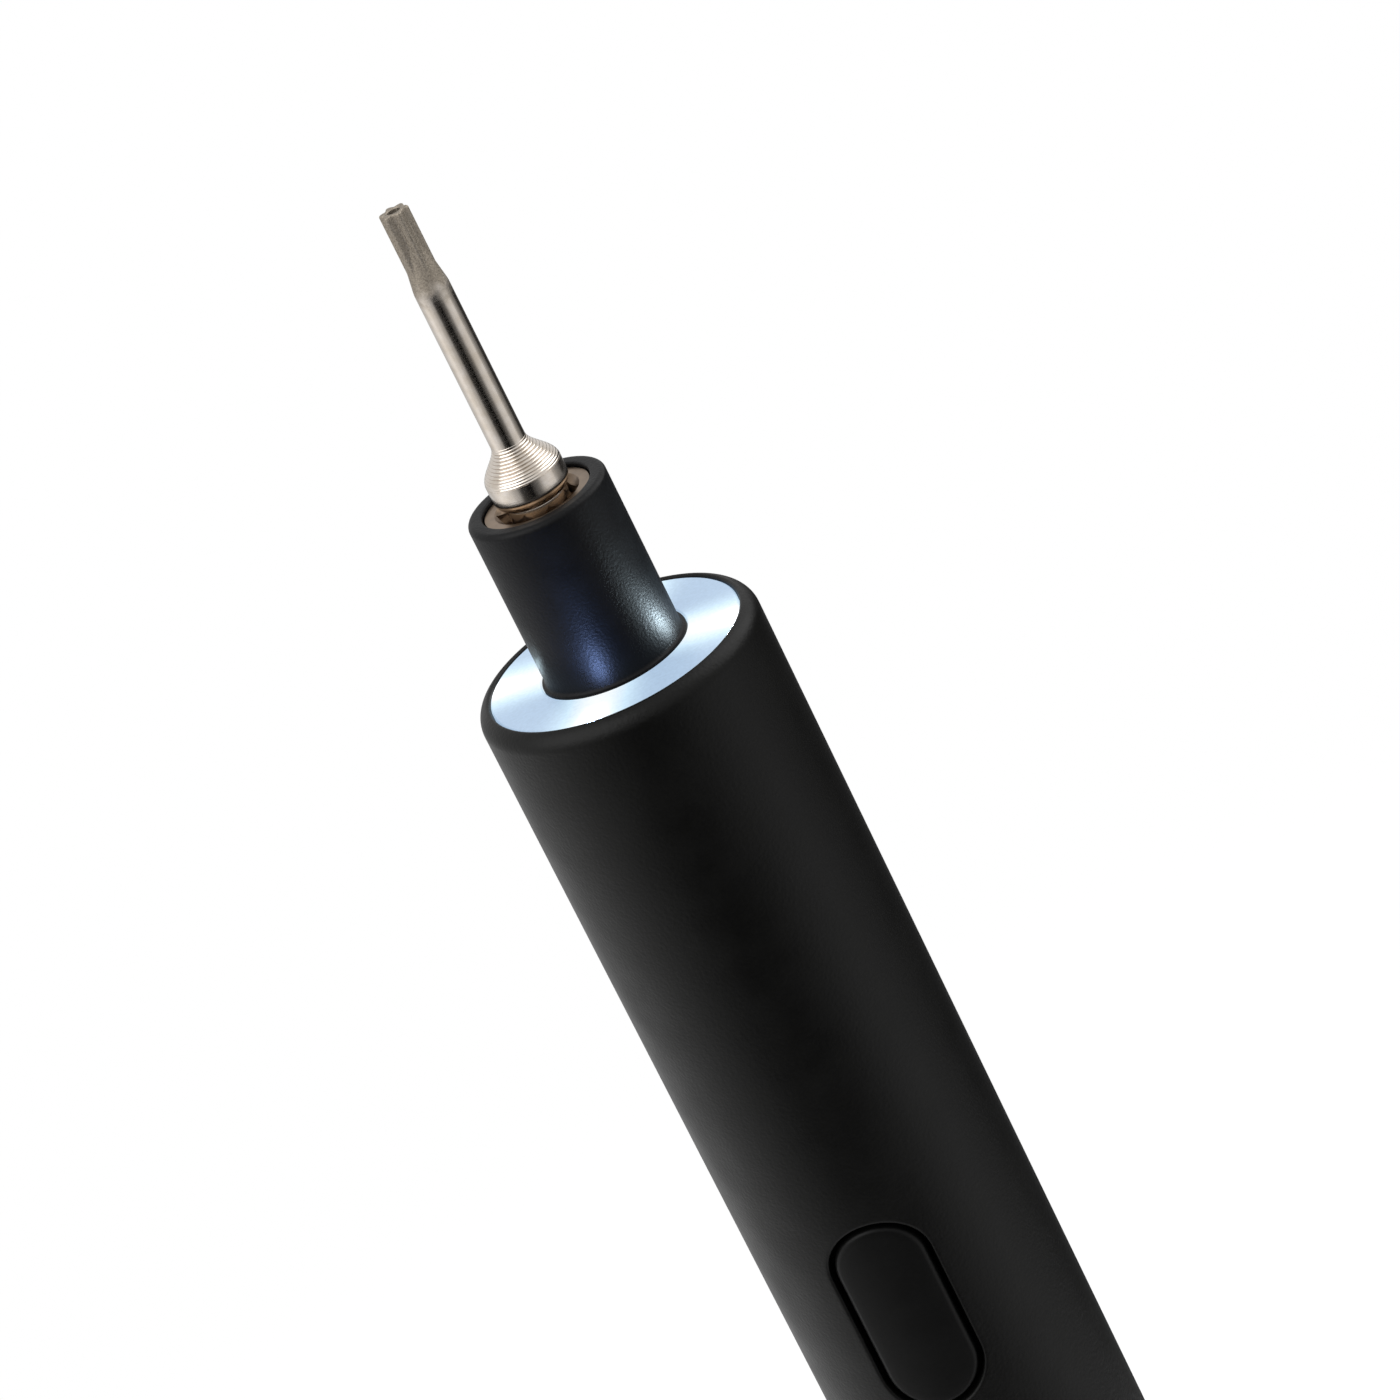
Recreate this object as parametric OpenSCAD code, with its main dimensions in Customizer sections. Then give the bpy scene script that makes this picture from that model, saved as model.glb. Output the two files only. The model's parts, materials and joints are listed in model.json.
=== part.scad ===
// Pen-style electric precision screwdriver: a turned tube with a lit nose, a two-stage
// planetary gearbox, a small brushed motor, a rocker button, a cell and a charging port.
// The tool stands on its tail. Z runs up the tool's axis to the bit, the button faces -Y.
// "Depth" is the distance behind the face of the light ring, so z = ring_z - depth.

/* [Body] */
// Outer diameter of the body tube
body_d = 16; // [15.6:0.1:17]
// Wall of the body tube
body_wall = 1; // [0.9:0.05:1.1]
// Rounding of the tube's front edge
rim_round = 1.1; // [0.8:0.1:1.3]
// How far the light ring sits below the tube's front edge
ring_recess = 0.2; // [0.1:0.05:0.4]

/* [Nose] */
// Outer diameter of the nose sleeve
sleeve_d = 7.8; // [7.6:0.1:8.2]
// Length of the nose sleeve ahead of the light ring
sleeve_l = 9.9; // [9:0.1:12]
// Rounding of the sleeve's front edge
sleeve_round = 0.45; // [0.2:0.05:0.6]
// Concave fillet at the sleeve's root
root_fillet = 0.4; // [0.2:0.05:0.5]
// Thickness of the light ring
ring_t = 1.3; // [1:0.1:1.4]
// Number of LEDs behind the light ring
led_count = 6; // [4:1:8]

/* [Drive] */
// Width across the flats of the bit's hexagon
hex_af = 4; // [3.9:0.05:4.1]
// Outer diameter of the bit socket
socket_d = 5.92; // [5.8:0.02:5.96]
// How far the socket's face sits inside the nose sleeve
socket_recess = 0.23; // [0.1:0.01:0.5]
// Length of the bit
bit_l = 28; // [26:0.5:30]
// Diameter of the bit's round shank
shank_d = 1.94; // [1.6:0.02:2.4]
// Diameter over the lobes of the six-lobed tip
lobe_d = 1.62; // [1.5:0.02:1.8]

/* [Gearbox] */
// Wall of the gearbox housing outside the ring gear's roots
case_wall = 1.125; // [1:0.025:1.3]
// Face width of the first-stage planets, next to the motor
face_1 = 2; // [1.6:0.1:2.2]
// Face width of the second-stage planets
face_2 = 2.4; // [2:0.1:2.6]
// Diameter of the planet pins
pin_d = 1; // [0.8:0.05:1.1]
// Running clearance of each tooth flank
flank_clear = 0.03; // [0.02:0.005:0.04]

/* [Motor] */
// Radial clearance between the motor and the chassis
motor_clear = 0.3; // [0.1:0.05:0.5]
// Length of the motor
motor_l = 15.5; // [15:0.1:15.7]
// Diameter of the motor shaft
shaft_d = 1; // [0.8:0.05:1.2]

/* [Button] */
// Distance from the front end of the main board to the button's centre
button_lead = 6.33; // [6:0.01:8]
// Length of the button slot
slot_l = 12.55; // [12:0.05:13]
// Width of the button slot
slot_w = 5.7; // [5.4:0.05:6]
// Clearance all round the button in its slot
button_clear = 0.3; // [0.25:0.05:0.4]
// Distance from the button's centre to each switch
switch_pitch = 4.2; // [4:0.1:4.6]

/* [Power] */
// Radial clearance between the cell and the chassis
cell_clear = 0.2; // [0.1:0.05:0.5]
// Length of the cell
cell_l = 42; // [40:0.5:43]
// Length of the main board behind the button's centre
board_tail = 18.2; // [17:0.1:22]
// Length of the charge board
charge_l = 18.27; // [16:0.01:24]
// Width of the charge board
charge_w = 9; // [8.94:0.02:9.6]
// Thickness of the circuit boards
board_t = 0.8; // [0.6:0.1:1]

/* [Hidden] */

$fn = 64;
over = 0.5;         // how far a cutter runs past the face it cuts
fit = 0.05;         // clearance of a piece that slides into its seat
run = 0.03;         // radial clearance of a running fit
side = 0.15;        // end clearance between things that turn past each other
slack = 0.3;        // end clearance between things that are laid in the chassis

// Body tube and light ring
body_r = body_d / 2;
bore_r = body_r - body_wall;
mouth_r = bore_r + 0.15;            // counterbore that takes the ring and the sleeve's flange
led_h = 0.5;
led_l = 0.8;
led_w = 1.6;
led_board_depth = ring_t + led_h + 0.1;
flange_depth = led_board_depth + board_t;
flange_t = 1.4;
step_depth = flange_depth + flange_t;
collar_r = sleeve_d / 2 + root_fillet;

// Front bearing: 5 x 8 x 2.5 mm
bearing_r = 4;
journal_r = 2.5;
bearing_w = 2.5;
ball_r = 0.5;
balls = 9;
race_wall = 0.45;
ball_orbit_r = (bearing_r + journal_r) / 2;
groove_r = ball_r + 0.03;
plate_lip = 0.4;
bearing_depth = step_depth + plate_lip;
plate_end = bearing_depth + bearing_w;

// Spindle and bit
socket_r = socket_d / 2;
socket_front = -sleeve_l + socket_recess;
socket_bore_af = hex_af + 0.06;
socket_floor_t = 0.46;
seat_gap = 0.02;
magnet_l = 3;
magnet_r = hex_af / 2 - 0.1;
socket_floor = bearing_depth - socket_floor_t;
magnet_depth = socket_floor - seat_gap - magnet_l;
bit_rear = magnet_depth - seat_gap;
bit_front = bit_rear - bit_l;
mouth_clear = 0.09;
bush_wall = 0.45;
bush_bore_r = socket_r + 0.04;
bush_l = 4;
bush_depth = socket_front + 3.67;

// Gears: three planets between a sun and a ring, each planet as large as the sun
pressure = 25;
planets = 3;
small_teeth = 12;
ring_teeth = 3 * small_teeth;
case_r = bore_r - 0.1;
gear_m = (case_r - case_wall) / (ring_teeth / 2 + 1.25);
pitch_r = gear_m * small_teeth / 2;
tip_r = pitch_r + gear_m;
root_r = pitch_r - 1.25 * gear_m;
orbit_r = 2 * pitch_r;
ring_tip_r = 3 * pitch_r - 0.8 * gear_m;
ring_root_r = 3 * pitch_r + 1.25 * gear_m;
pin_r = pin_d / 2;
carrier_r = ring_tip_r - 0.35;
carrier_t = 1;
scallop_r = 1.1;
case_lip = 0.4;
carrier_2_depth = plate_end + case_lip + 0.2;
planet_2_depth = carrier_2_depth + carrier_t + side;
sun_2_depth = planet_2_depth + 0.1;
carrier_1_depth = planet_2_depth + face_2 + 2 * side;
planet_1_depth = carrier_1_depth + carrier_t + side;
pinion_depth = planet_1_depth + side;
case_end = planet_1_depth + face_1 + 0.3;
carrier_hub_r = 2.9;
spindle_tail_r = 1.8;

// Motor
motor_plate_t = 0.9;
motor_depth = case_end + motor_plate_t;
chassis_r = bore_r - 0.1;
chassis_wall = 0.6;
chassis_bore_r = chassis_r - chassis_wall;
motor_r = chassis_bore_r - motor_clear;
can_t = 0.5;
bell_t = 1.2;
motor_end = motor_depth + motor_l;
can_end = motor_end - bell_t;
boss_r = 1.75;
shaft_r = shaft_d / 2;
motor_bush_r = shaft_r + 0.7;
magnet_t = 1.1;
core_r = motor_r - can_t - magnet_t - 0.3;
core_depth = motor_depth + 3.2;
core_l = motor_l - 9.1;
shoe_t = 0.7;
pole_w = 1.2;
coil_in_r = 1.7;
coil_w = 2.2;
coil_out_r = sqrt(pow(core_r - shoe_t - 0.1, 2) - pow(coil_w / 2, 2));
coil_over = 0.7;
commutator_r = 1.25;
commutator_l = 2;
commutator_depth = can_end - commutator_l - 0.5;
poles = 3;
screw_orbit_r = 0.6 * motor_r;
small_screw_r = 0.6;
small_head_r = 1.1;
small_head_t = 0.5;
terminal_x = 0.6 * motor_r;
terminal_w = 1.4;
terminal_t = 0.4;
brush_t = 0.16;
brush_w = 0.9;
brush_l = 4.4;

// Chassis
chassis_depth = motor_depth;
split_gap = 0.05;
motor_wall_depth = motor_end + 0.4;
motor_wall_t = 1;
board_depth = motor_wall_depth + motor_wall_t + slack;
button_depth = board_depth + button_lead;
board_end = button_depth + board_tail;
middle_depth = board_end + slack;
post_wall_t = 3.8;                  // walls across the chassis that take the screws
cell_r = chassis_bore_r - cell_clear;
cell_depth = middle_depth + post_wall_t + 0.5;
rear_depth = cell_depth + cell_l + 0.9;
screw_depths = [middle_depth + post_wall_t / 2, rear_depth + post_wall_t / 2];
screw_x = bore_r - 3.2;
screw_r = 0.6;
screw_l = 6.9;
screw_head_r = 1.1;
screw_head_t = 0.8;
screw_head_y = sqrt(pow(chassis_r, 2) - pow(screw_x + screw_head_r, 2)) - screw_head_t - 0.15;
screw_cross_w = 0.25;
screw_cross_l = 1.4;
lead_slot = 3;                      // square hole for the tabs in each wall
rib_t = 1;
tab_w = 2.4;
tab_t = 0.2;
tab_reach = 4;

// Button: a rocker on a cross pin over two switches
board_top_y = 3.3 - bore_r;         // side of the main board that faces the button
board_y = board_top_y + board_t;
board_w = 2 * (sqrt(pow(chassis_bore_r, 2) - pow(board_top_y, 2)) - 0.1);
slot_r = slot_w / 2;
cap_r = slot_r - button_clear;
cap_l = slot_l - 2 * button_clear;
rocker_y = 1.5 - bore_r;
rocker_pin_r = 0.4;
rocker_pin_seat = 0.4;              // length of the pin in each pivot block
rocker_hub_r = 0.85;
rocker_flange_r = bore_r - 0.35;
rocker_flange_over = 0.45;
rocker_flange_y = 1.15 - bore_r;
rocker_skin_r = body_r - 0.05;
switch_l = 2.8;
switch_w = 3.4;
switch_h = 0.85;
plunger_r = 0.7;
plunger_h = 0.45;
plunger_root = 0.4;
switch_top_y = board_top_y - switch_h;
plunger_top_y = switch_top_y - plunger_h;
foot_gap = 0.22;
foot_r = 0.8;
window_w = slot_w + 2 * rocker_flange_over - 2 * button_clear + 0.4;
window_l = slot_l + 2 * rocker_flange_over + 0.6;
pivot_w = 1.1;
pivot_l = 2.6;
pivot_drop = 1.2;

// Packages on the boards: [length, width, height]
controller = [4, 4, 0.9];
driver = [3, 3, 0.8];
sensor = [4.4, 4.4, 0.9];
charger = [3, 3, 0.9];
inductor = [2, 2.4, 1];

// End cap and charging port
cap_t = 2.5;
cap_round = 0.8;
spigot_l = 6;
spigot_end = cap_t + spigot_l;
ring_section_r = 0.5;
ring_groove_z = cap_t + 2.4;
usb_w = 8.94;
usb_h = 3.26;
usb_l = 7.3;
usb_wall = 0.3;
usb_inset = 0.3;
tongue_w = 6.7;
tongue_h = 0.7;
tongue_inset = 0.7;
charge_y = usb_h / 2 + fit;
charge_z = 4.6;
charge_depth = rear_depth + post_wall_t + slack;
pocket_w = charge_w + 0.4;
pocket_low_y = -usb_h / 2 - slack;
pocket_high_y = charge_y + board_t + 0.2;
ring_z = charge_depth + charge_l + charge_z;    // height of the light ring's face
rim_z = ring_z + ring_recess;
button_z = ring_z - button_depth;
chassis_end = ring_z - spigot_end - 0.2;

// Cylinder about the axis between two depths
module drum(r, front, back) {
    translate([0, 0, ring_z - back])
        cylinder(r = r, h = back - front);
}

// Ring about the axis between two depths
module sleeve(inner, outer, front, back) {
    difference() {
        drum(outer, front, back);
        drum(inner, front - over, back + over);
    }
}

// Block between two depths, centred on X
module slab(w, y_low, y_high, front, back) {
    translate([-w / 2, y_low, ring_z - back])
        cube([w, y_high - y_low, back - front]);
}

// Slot outline with round ends, its length along Y
module obround(l, w) {
    straight = l - w;
    square([w, straight], center = true);
    for (end = [-1, 1])
        translate([0, end * straight / 2])
            circle(d = w);
}

// Solid with an obround outline seen from -Y, between two values of Y
module button_prism(l, w, y_outer, y_inner) {
    translate([0, y_inner, button_z])
        rotate([90, 0, 0])
            linear_extrude(y_inner - y_outer)
                obround(l, w);
}

// Rod along Y between two values of Y
module y_rod(r, x, z, y_outer, y_inner) {
    translate([x, y_inner, z])
        rotate([90, 0, 0])
            cylinder(r = r, h = y_inner - y_outer, $fn = 32);
}

// Involute function, in degrees
function involute(a) = tan(a) * 180 / PI - a;

// Half the angle of one tooth at radius r, with each flank thinned by clear
function half_tooth(n, clear, r) =
    let (base_r = gear_m * n / 2 * cos(pressure))
    let (a = r > base_r ? acos(base_r / r) : 0)
    (90 - 2 * clear * 180 / (PI * gear_m)) / n + involute(pressure) - involute(a);

// Outline of a gear with its flanks as short involute chords
function gear_points(n, clear, low_r, high_r, steps = 3) = [
    for (tooth = [0 : n - 1], flank = [-1, 1], i = [0 : steps])
        let (t = (flank < 0 ? i : steps - i) / steps)
        let (r = low_r + (high_r - low_r) * t)
        let (a = 360 / n * tooth + flank * half_tooth(n, clear, r))
        [r * cos(a), r * sin(a)]
];

module gear(front, back) {
    translate([0, 0, ring_z - back])
        linear_extrude(back - front)
            polygon(gear_points(small_teeth, flank_clear / 2, root_r, tip_r));
}

// Places its children at the centre of planet number k
module at_planet(k) {
    rotate(360 / planets * k)
        translate([orbit_r, 0, 0])
            children();
}

// Planet with a space towards the sun and a space towards the ring gear
module planet(k, front, face) {
    at_planet(k)
        difference() {
            rotate(180 / small_teeth)
                gear(front, front + face);
            drum(pin_r + run, front - over, front + face + over);
        }
}

module planet_pins(front, back) {
    for (k = [0 : planets - 1])
        at_planet(k)
            drum(pin_r, front, back);
}

// Disc that carries the planet pins
module carrier_disc(front) {
    difference() {
        drum(carrier_r, front, front + carrier_t);
        for (k = [0 : planets - 1])
            at_planet(k)
                drum(pin_r, front - over, front + carrier_t + over);
        for (k = [0 : planets - 1])
            rotate(360 / planets * (k + 0.5))
                translate([carrier_r, 0, 0])
                    drum(scallop_r, front - over, front + carrier_t + over);
    }
}

// Tube with a rounded front lip, a counterbore for the nose and the button slot
module body_tube() {
    color([0.09, 0.09, 0.09])
        difference() {
            rotate_extrude($fn = 96)
                intersection() {
                    union() {
                        square([body_r, rim_z - rim_round]);
                        square([body_r - rim_round, rim_z]);
                        translate([body_r - rim_round, rim_z - rim_round])
                            circle(r = rim_round);
                    }
                    translate([bore_r, cap_t])
                        square([body_wall + over, rim_z]);
                }
            drum(mouth_r, -ring_recess - over, step_depth);
            button_prism(slot_l, slot_w, -body_r - over, -bore_r / 2);
        }
}

// Turned cap with a plug that holds the charging port
module end_cap() {
    color([0.08, 0.08, 0.08])
        difference() {
            rotate_extrude($fn = 96)
                difference() {
                    union() {
                        translate([0, cap_round])
                            square([body_r, cap_t - cap_round]);
                        square([body_r - cap_round, cap_t]);
                        translate([body_r - cap_round, cap_round])
                            circle(r = cap_round);
                        square([bore_r - fit, spigot_end]);
                    }
                    translate([-body_r, -body_r])
                        square([body_r, 4 * body_r]);
                    translate([bore_r - 2 * ring_section_r - fit, ring_groove_z - ring_section_r - fit])
                        square([body_r, 2 * ring_section_r + 2 * fit]);
                }
            translate([0, 0, -over])
                linear_extrude(usb_l)
                    rotate(90)
                        obround(usb_w + 2 * fit, usb_h + 2 * fit);
            translate([-pocket_w / 2, pocket_low_y, charge_z - slack])
                cube([pocket_w, pocket_high_y - pocket_low_y, spigot_end]);
        }
}

module cap_o_ring() {
    color([0.04, 0.04, 0.04])
        translate([0, 0, ring_groove_z])
            rotate_extrude($fn = 64)
                translate([bore_r - ring_section_r - 0.02, 0])
                    circle(r = ring_section_r, $fn = 24);
}

// Black sleeve with a rounded mouth, a filleted root and a flange behind the LED board
module nose_sleeve() {
    front_z = ring_z + sleeve_l;
    color([0.06, 0.06, 0.08])
        difference() {
            rotate_extrude($fn = 96) {
                square([sleeve_d / 2, ring_z + sleeve_l - sleeve_round]);
                square([sleeve_d / 2 - sleeve_round, front_z]);
                translate([sleeve_d / 2 - sleeve_round, front_z - sleeve_round])
                    circle(r = sleeve_round);
                difference() {
                    square([collar_r, ring_z + root_fillet]);
                    translate([collar_r, ring_z + root_fillet])
                        circle(r = root_fillet);
                }
                translate([0, ring_z - step_depth])
                    square([mouth_r - fit, flange_t]);
            }
            drum(body_r, step_depth, ring_z + over);
            drum(socket_r + mouth_clear, -sleeve_l - over, bush_depth + over);
            drum(bush_bore_r + bush_wall, bush_depth, step_depth + over);
        }
}

module front_bush() {
    color([0.72, 0.55, 0.28])
        sleeve(bush_bore_r, bush_bore_r + bush_wall, bush_depth, bush_depth + bush_l);
}

// Frosted ring that spreads the light of the LEDs, with a locating skirt behind
module light_ring() {
    color([0.86, 0.93, 1])
        difference() {
            union() {
                sleeve(collar_r + fit, mouth_r - fit, 0, ring_t);
                sleeve(mouth_r - fit - 0.5, mouth_r - fit, ring_t - over, led_board_depth);
            }
            drum(collar_r + fit, -over, ring_t + over);
        }
}

module led_board() {
    color([0.05, 0.25, 0.12])
        sleeve(collar_r + fit, mouth_r - fit, led_board_depth, flange_depth);
}

module leds() {
    led_orbit = (collar_r + mouth_r - 0.5) / 2;
    color([0.95, 0.93, 0.7])
        for (k = [0 : led_count - 1])
            rotate(360 / led_count * k - 90)
                translate([led_orbit, 0, ring_z - led_board_depth + led_h / 2])
                    cube([led_l, led_w, led_h], center = true);
}

// Plate that seats the front bearing and closes the gearbox
module bearing_plate() {
    color([0.75, 0.76, 0.78])
        difference() {
            drum(case_r, step_depth, plate_end);
            drum(socket_r + 0.25, step_depth - over, plate_end);
            drum(bearing_r, bearing_depth, plate_end + over);
        }
}

module race_groove() {
    translate([0, 0, ring_z - bearing_depth - bearing_w / 2])
        rotate_extrude()
            translate([ball_orbit_r, 0])
                circle(r = groove_r, $fn = 32);
}

module bearing_outer_race() {
    color([0.8, 0.8, 0.82])
        difference() {
            sleeve(bearing_r - race_wall, bearing_r, bearing_depth, plate_end);
            race_groove();
        }
}

module bearing_inner_race() {
    color([0.8, 0.8, 0.82])
        difference() {
            sleeve(journal_r, journal_r + race_wall, bearing_depth, plate_end);
            race_groove();
        }
}

module ball_set(r) {
    for (k = [0 : balls - 1])
        rotate(360 / balls * k)
            translate([ball_orbit_r, 0, ring_z - bearing_depth - bearing_w / 2])
                sphere(r = r, $fn = 32);
}

module bearing_balls() {
    color([0.85, 0.85, 0.87])
        ball_set(ball_r);
}

// Ring between the races with a pocket for each ball
module bearing_cage() {
    cage_half = 0.18;
    color([0.7, 0.6, 0.35])
        difference() {
            sleeve(ball_orbit_r - cage_half, ball_orbit_r + cage_half, bearing_depth + 0.35,
                plate_end - 0.35);
            ball_set(ball_r + fit);
        }
}

// Housing with the internal teeth that both stages share
module gearbox_case() {
    color([0.62, 0.63, 0.65])
        difference() {
            drum(case_r, plate_end, case_end);
            drum(bearing_r - 0.3, plate_end - over, plate_end + over);
            translate([0, 0, ring_z - case_end - over])
                linear_extrude(case_end + over - plate_end - case_lip)
                    rotate(180 / ring_teeth)
                        polygon(gear_points(ring_teeth, -flank_clear / 2, ring_tip_r, ring_root_r));
        }
}

// Plate between the gearbox and the motor
module motor_plate() {
    color([0.7, 0.7, 0.72])
        difference() {
            drum(case_r, case_end, motor_depth);
            drum(boss_r + fit, case_end - over, motor_depth + over);
            for (turn = [90, 270])
                rotate(turn)
                    translate([screw_orbit_r, 0, 0])
                        motor_screw(fit);
        }
}

// Countersunk screw through the motor plate into the motor
module motor_screw(grow) {
    drum(small_screw_r + grow, case_end, motor_depth + 1.2);
    translate([0, 0, ring_z - case_end - small_head_t])
        cylinder(r1 = small_screw_r + grow, r2 = small_head_r + grow, h = small_head_t);
}

module motor_plate_screws() {
    color([0.3, 0.3, 0.32])
        for (turn = [90, 270])
            rotate(turn)
                translate([screw_orbit_r, 0, 0])
                    motor_screw(0);
}

module hexagon(af, front, back) {
    translate([0, 0, ring_z - back])
        cylinder(r = af / 2 / cos(30), h = back - front, $fn = 6);
}

// Output spindle with the hexagonal bit socket, the bearing journal and the carrier's seat
module spindle() {
    color([0.72, 0.66, 0.58])
        difference() {
            union() {
                drum(socket_r, socket_front, bearing_depth);
                drum(journal_r, bearing_depth, plate_end);
                drum(spindle_tail_r, plate_end, carrier_2_depth + carrier_t);
            }
            hexagon(socket_bore_af, socket_front - over, socket_floor);
            translate([0, 0, ring_z - socket_front - 0.45])
                cylinder(r1 = hex_af / 2, r2 = 2.45, h = 0.5);
        }
}

module socket_magnet() {
    color([0.55, 0.55, 0.56])
        drum(magnet_r, magnet_depth, magnet_depth + magnet_l);
}

// Radius of the bit's flared shoulder, t running from the shank to the hexagon
function flare_r(t) = shank_d / 2 + (hex_af / 2 + 0.12 - shank_d / 2) * (3 * t * t - 2 * t * t * t);

// Flared shoulder with fine turned rings
module bit_shoulder(front, back, rings) {
    step = (back - front) / rings;
    ring_points = [
        for (i = [0 : rings - 1], edge = [0, 0.75])
            [flare_r((i + 0.5) / rings) - 0.05 * edge, ring_z - front - step * (i + edge)]
    ];
    rotate_extrude()
        polygon(concat([[0, ring_z - back], [0, ring_z - front]], ring_points,
            [[hex_af / 2 + 0.12, ring_z - back + 0.02], [hex_af / 2 + 0.12, ring_z - back]]));
}

// Six-lobed outline
module lobes(d) {
    mean = d * 0.43;
    wave = d * 0.07;
    polygon([for (a = [0 : 7.5 : 359]) (mean + wave * cos(6 * a)) * [cos(a), sin(a)]]);
}

module bit() {
    shoulder_front = socket_front - 3.6;
    shoulder_back = socket_front - 1.75;
    star_end = bit_front + 2;
    neck = bit_front + 4.5;
    color([0.74, 0.68, 0.6])
        difference() {
            union() {
                intersection() {
                    hexagon(hex_af, shoulder_back, bit_rear);
                    drum(hex_af / 2 + 0.2, shoulder_back, bit_rear);
                }
                bit_shoulder(shoulder_front, shoulder_back, 13);
                drum(shank_d / 2, neck, shoulder_front + 0.1);
                translate([0, 0, ring_z - neck])
                    cylinder(r1 = shank_d / 2, r2 = lobe_d * 0.36, h = neck - star_end);
                translate([0, 0, ring_z - neck + 0.4])
                    linear_extrude(neck - bit_front - 0.4)
                        lobes(lobe_d);
            }
            drum(lobe_d * 0.23, bit_front - over, bit_front + 1.2);
        }
}

// Output carrier, pressed on the spindle behind the bearing
module second_carrier() {
    color([0.6, 0.6, 0.62])
        difference() {
            union() {
                carrier_disc(carrier_2_depth);
                drum(carrier_hub_r, plate_end, carrier_2_depth + 0.1);
            }
            drum(spindle_tail_r, plate_end - over, carrier_2_depth + carrier_t + over);
        }
}

module second_pins() {
    color([0.8, 0.8, 0.82])
        planet_pins(carrier_2_depth, planet_2_depth + face_2);
}

module second_planet_a() {
    color([0.85, 0.8, 0.7])
        planet(0, planet_2_depth, face_2);
}

module second_planet_b() {
    color([0.85, 0.8, 0.7])
        planet(1, planet_2_depth, face_2);
}

module second_planet_c() {
    color([0.85, 0.8, 0.7])
        planet(2, planet_2_depth, face_2);
}

// First carrier with the sun gear of the second stage
module first_carrier() {
    color([0.6, 0.6, 0.62]) {
        carrier_disc(carrier_1_depth);
        gear(sun_2_depth, carrier_1_depth + 0.1);
    }
}

module first_pins() {
    color([0.8, 0.8, 0.82])
        planet_pins(carrier_1_depth, planet_1_depth + face_1);
}

module first_planet_a() {
    color([0.9, 0.88, 0.82])
        planet(0, planet_1_depth, face_1);
}

module first_planet_b() {
    color([0.9, 0.88, 0.82])
        planet(1, planet_1_depth, face_1);
}

module first_planet_c() {
    color([0.9, 0.88, 0.82])
        planet(2, planet_1_depth, face_1);
}

module motor_pinion() {
    color([0.78, 0.62, 0.3])
        difference() {
            gear(pinion_depth, case_end);
            drum(shaft_r, pinion_depth - over, case_end + over);
        }
}

module motor_shaft() {
    color([0.8, 0.8, 0.82])
        drum(shaft_r, pinion_depth, motor_end + 0.2);
}

// Laminated core with three poles
module armature_core() {
    color([0.5, 0.5, 0.52])
        difference() {
            union() {
                sleeve(core_r - shoe_t, core_r, core_depth, core_depth + core_l);
                drum(1.5, core_depth, core_depth + core_l);
                for (k = [0 : poles - 1])
                    rotate(360 / poles * k)
                        translate([0, -pole_w / 2, ring_z - core_depth - core_l])
                            cube([core_r - shoe_t / 2, pole_w, core_l]);
            }
            drum(shaft_r, core_depth - over, core_depth + core_l + over);
            for (k = [0 : poles - 1])
                rotate(360 / poles * (k + 0.5))
                    translate([0, -0.4, ring_z - core_depth - core_l - over])
                        translate([core_r - 1, 0, 0])
                            cube([2, 0.8, core_l + 2 * over]);
        }
}

// A coil round each pole
module armature_windings() {
    color([0.72, 0.36, 0.16])
        for (k = [0 : poles - 1])
            rotate(360 / poles * k)
                difference() {
                    translate([coil_in_r, -coil_w / 2, ring_z - core_depth - core_l - coil_over])
                        cube([coil_out_r - coil_in_r, coil_w, core_l + 2 * coil_over]);
                    translate([0, -pole_w / 2 - seat_gap, ring_z - core_depth - core_l - seat_gap])
                        cube([core_r, pole_w + 2 * seat_gap, core_l + 2 * seat_gap]);
                }
}

module commutator() {
    color([0.75, 0.45, 0.2])
        difference() {
            sleeve(shaft_r, commutator_r, commutator_depth, commutator_depth + commutator_l);
            for (k = [0 : poles - 1])
                rotate(360 / poles * k)
                    translate([commutator_r - 0.25, -0.1, ring_z - commutator_depth - commutator_l - over])
                        cube([1, 0.2, commutator_l + 2 * over]);
        }
}

// Drawn can with a bearing boss in front
module motor_can() {
    color([0.72, 0.73, 0.75])
        difference() {
            union() {
                drum(motor_r, motor_depth, can_end);
                drum(boss_r, case_end + 0.1, motor_depth + 0.1);
            }
            drum(motor_r - can_t, motor_depth + can_t, can_end + over);
            drum(motor_bush_r, case_end - over, motor_depth + over + can_t);
            for (turn = [90, 270])
                rotate(turn)
                    translate([screw_orbit_r, 0, 0])
                        drum(small_screw_r, motor_depth - over, motor_depth + 2);
        }
}

// Two curved magnets inside the can
module motor_magnets() {
    color([0.25, 0.25, 0.26])
        intersection() {
            sleeve(motor_r - can_t - magnet_t, motor_r - can_t, core_depth - 0.4, core_depth + core_l + 0.4);
            union() {
                for (side_x = [0, 180])
                    rotate(side_x)
                        translate([1.6, -motor_r, 0])
                            cube([motor_r, 2 * motor_r, ring_z]);
            }
        }
}

module motor_bushes() {
    color([0.72, 0.55, 0.28]) {
        sleeve(shaft_r + run, motor_bush_r, case_end + 0.1, motor_depth + can_t + 0.6);
        sleeve(shaft_r + run, motor_bush_r, can_end - 0.1, motor_end - 0.2);
    }
}

// Leaf brushes on the two sides of the commutator
module motor_brushes() {
    brush_depth = commutator_depth + commutator_l / 2;
    color([0.8, 0.6, 0.3])
        for (end = [-1, 1])
            translate([end * (commutator_r + 0.12), 0, ring_z - brush_depth]) {
                cube([brush_t, brush_l, brush_w], center = true);
                translate([0, brush_l / 2 - brush_w / 3, -(can_end - brush_depth) / 2])
                    cube([brush_t, brush_w * 2 / 3, can_end - brush_depth], center = true);
            }
}

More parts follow.
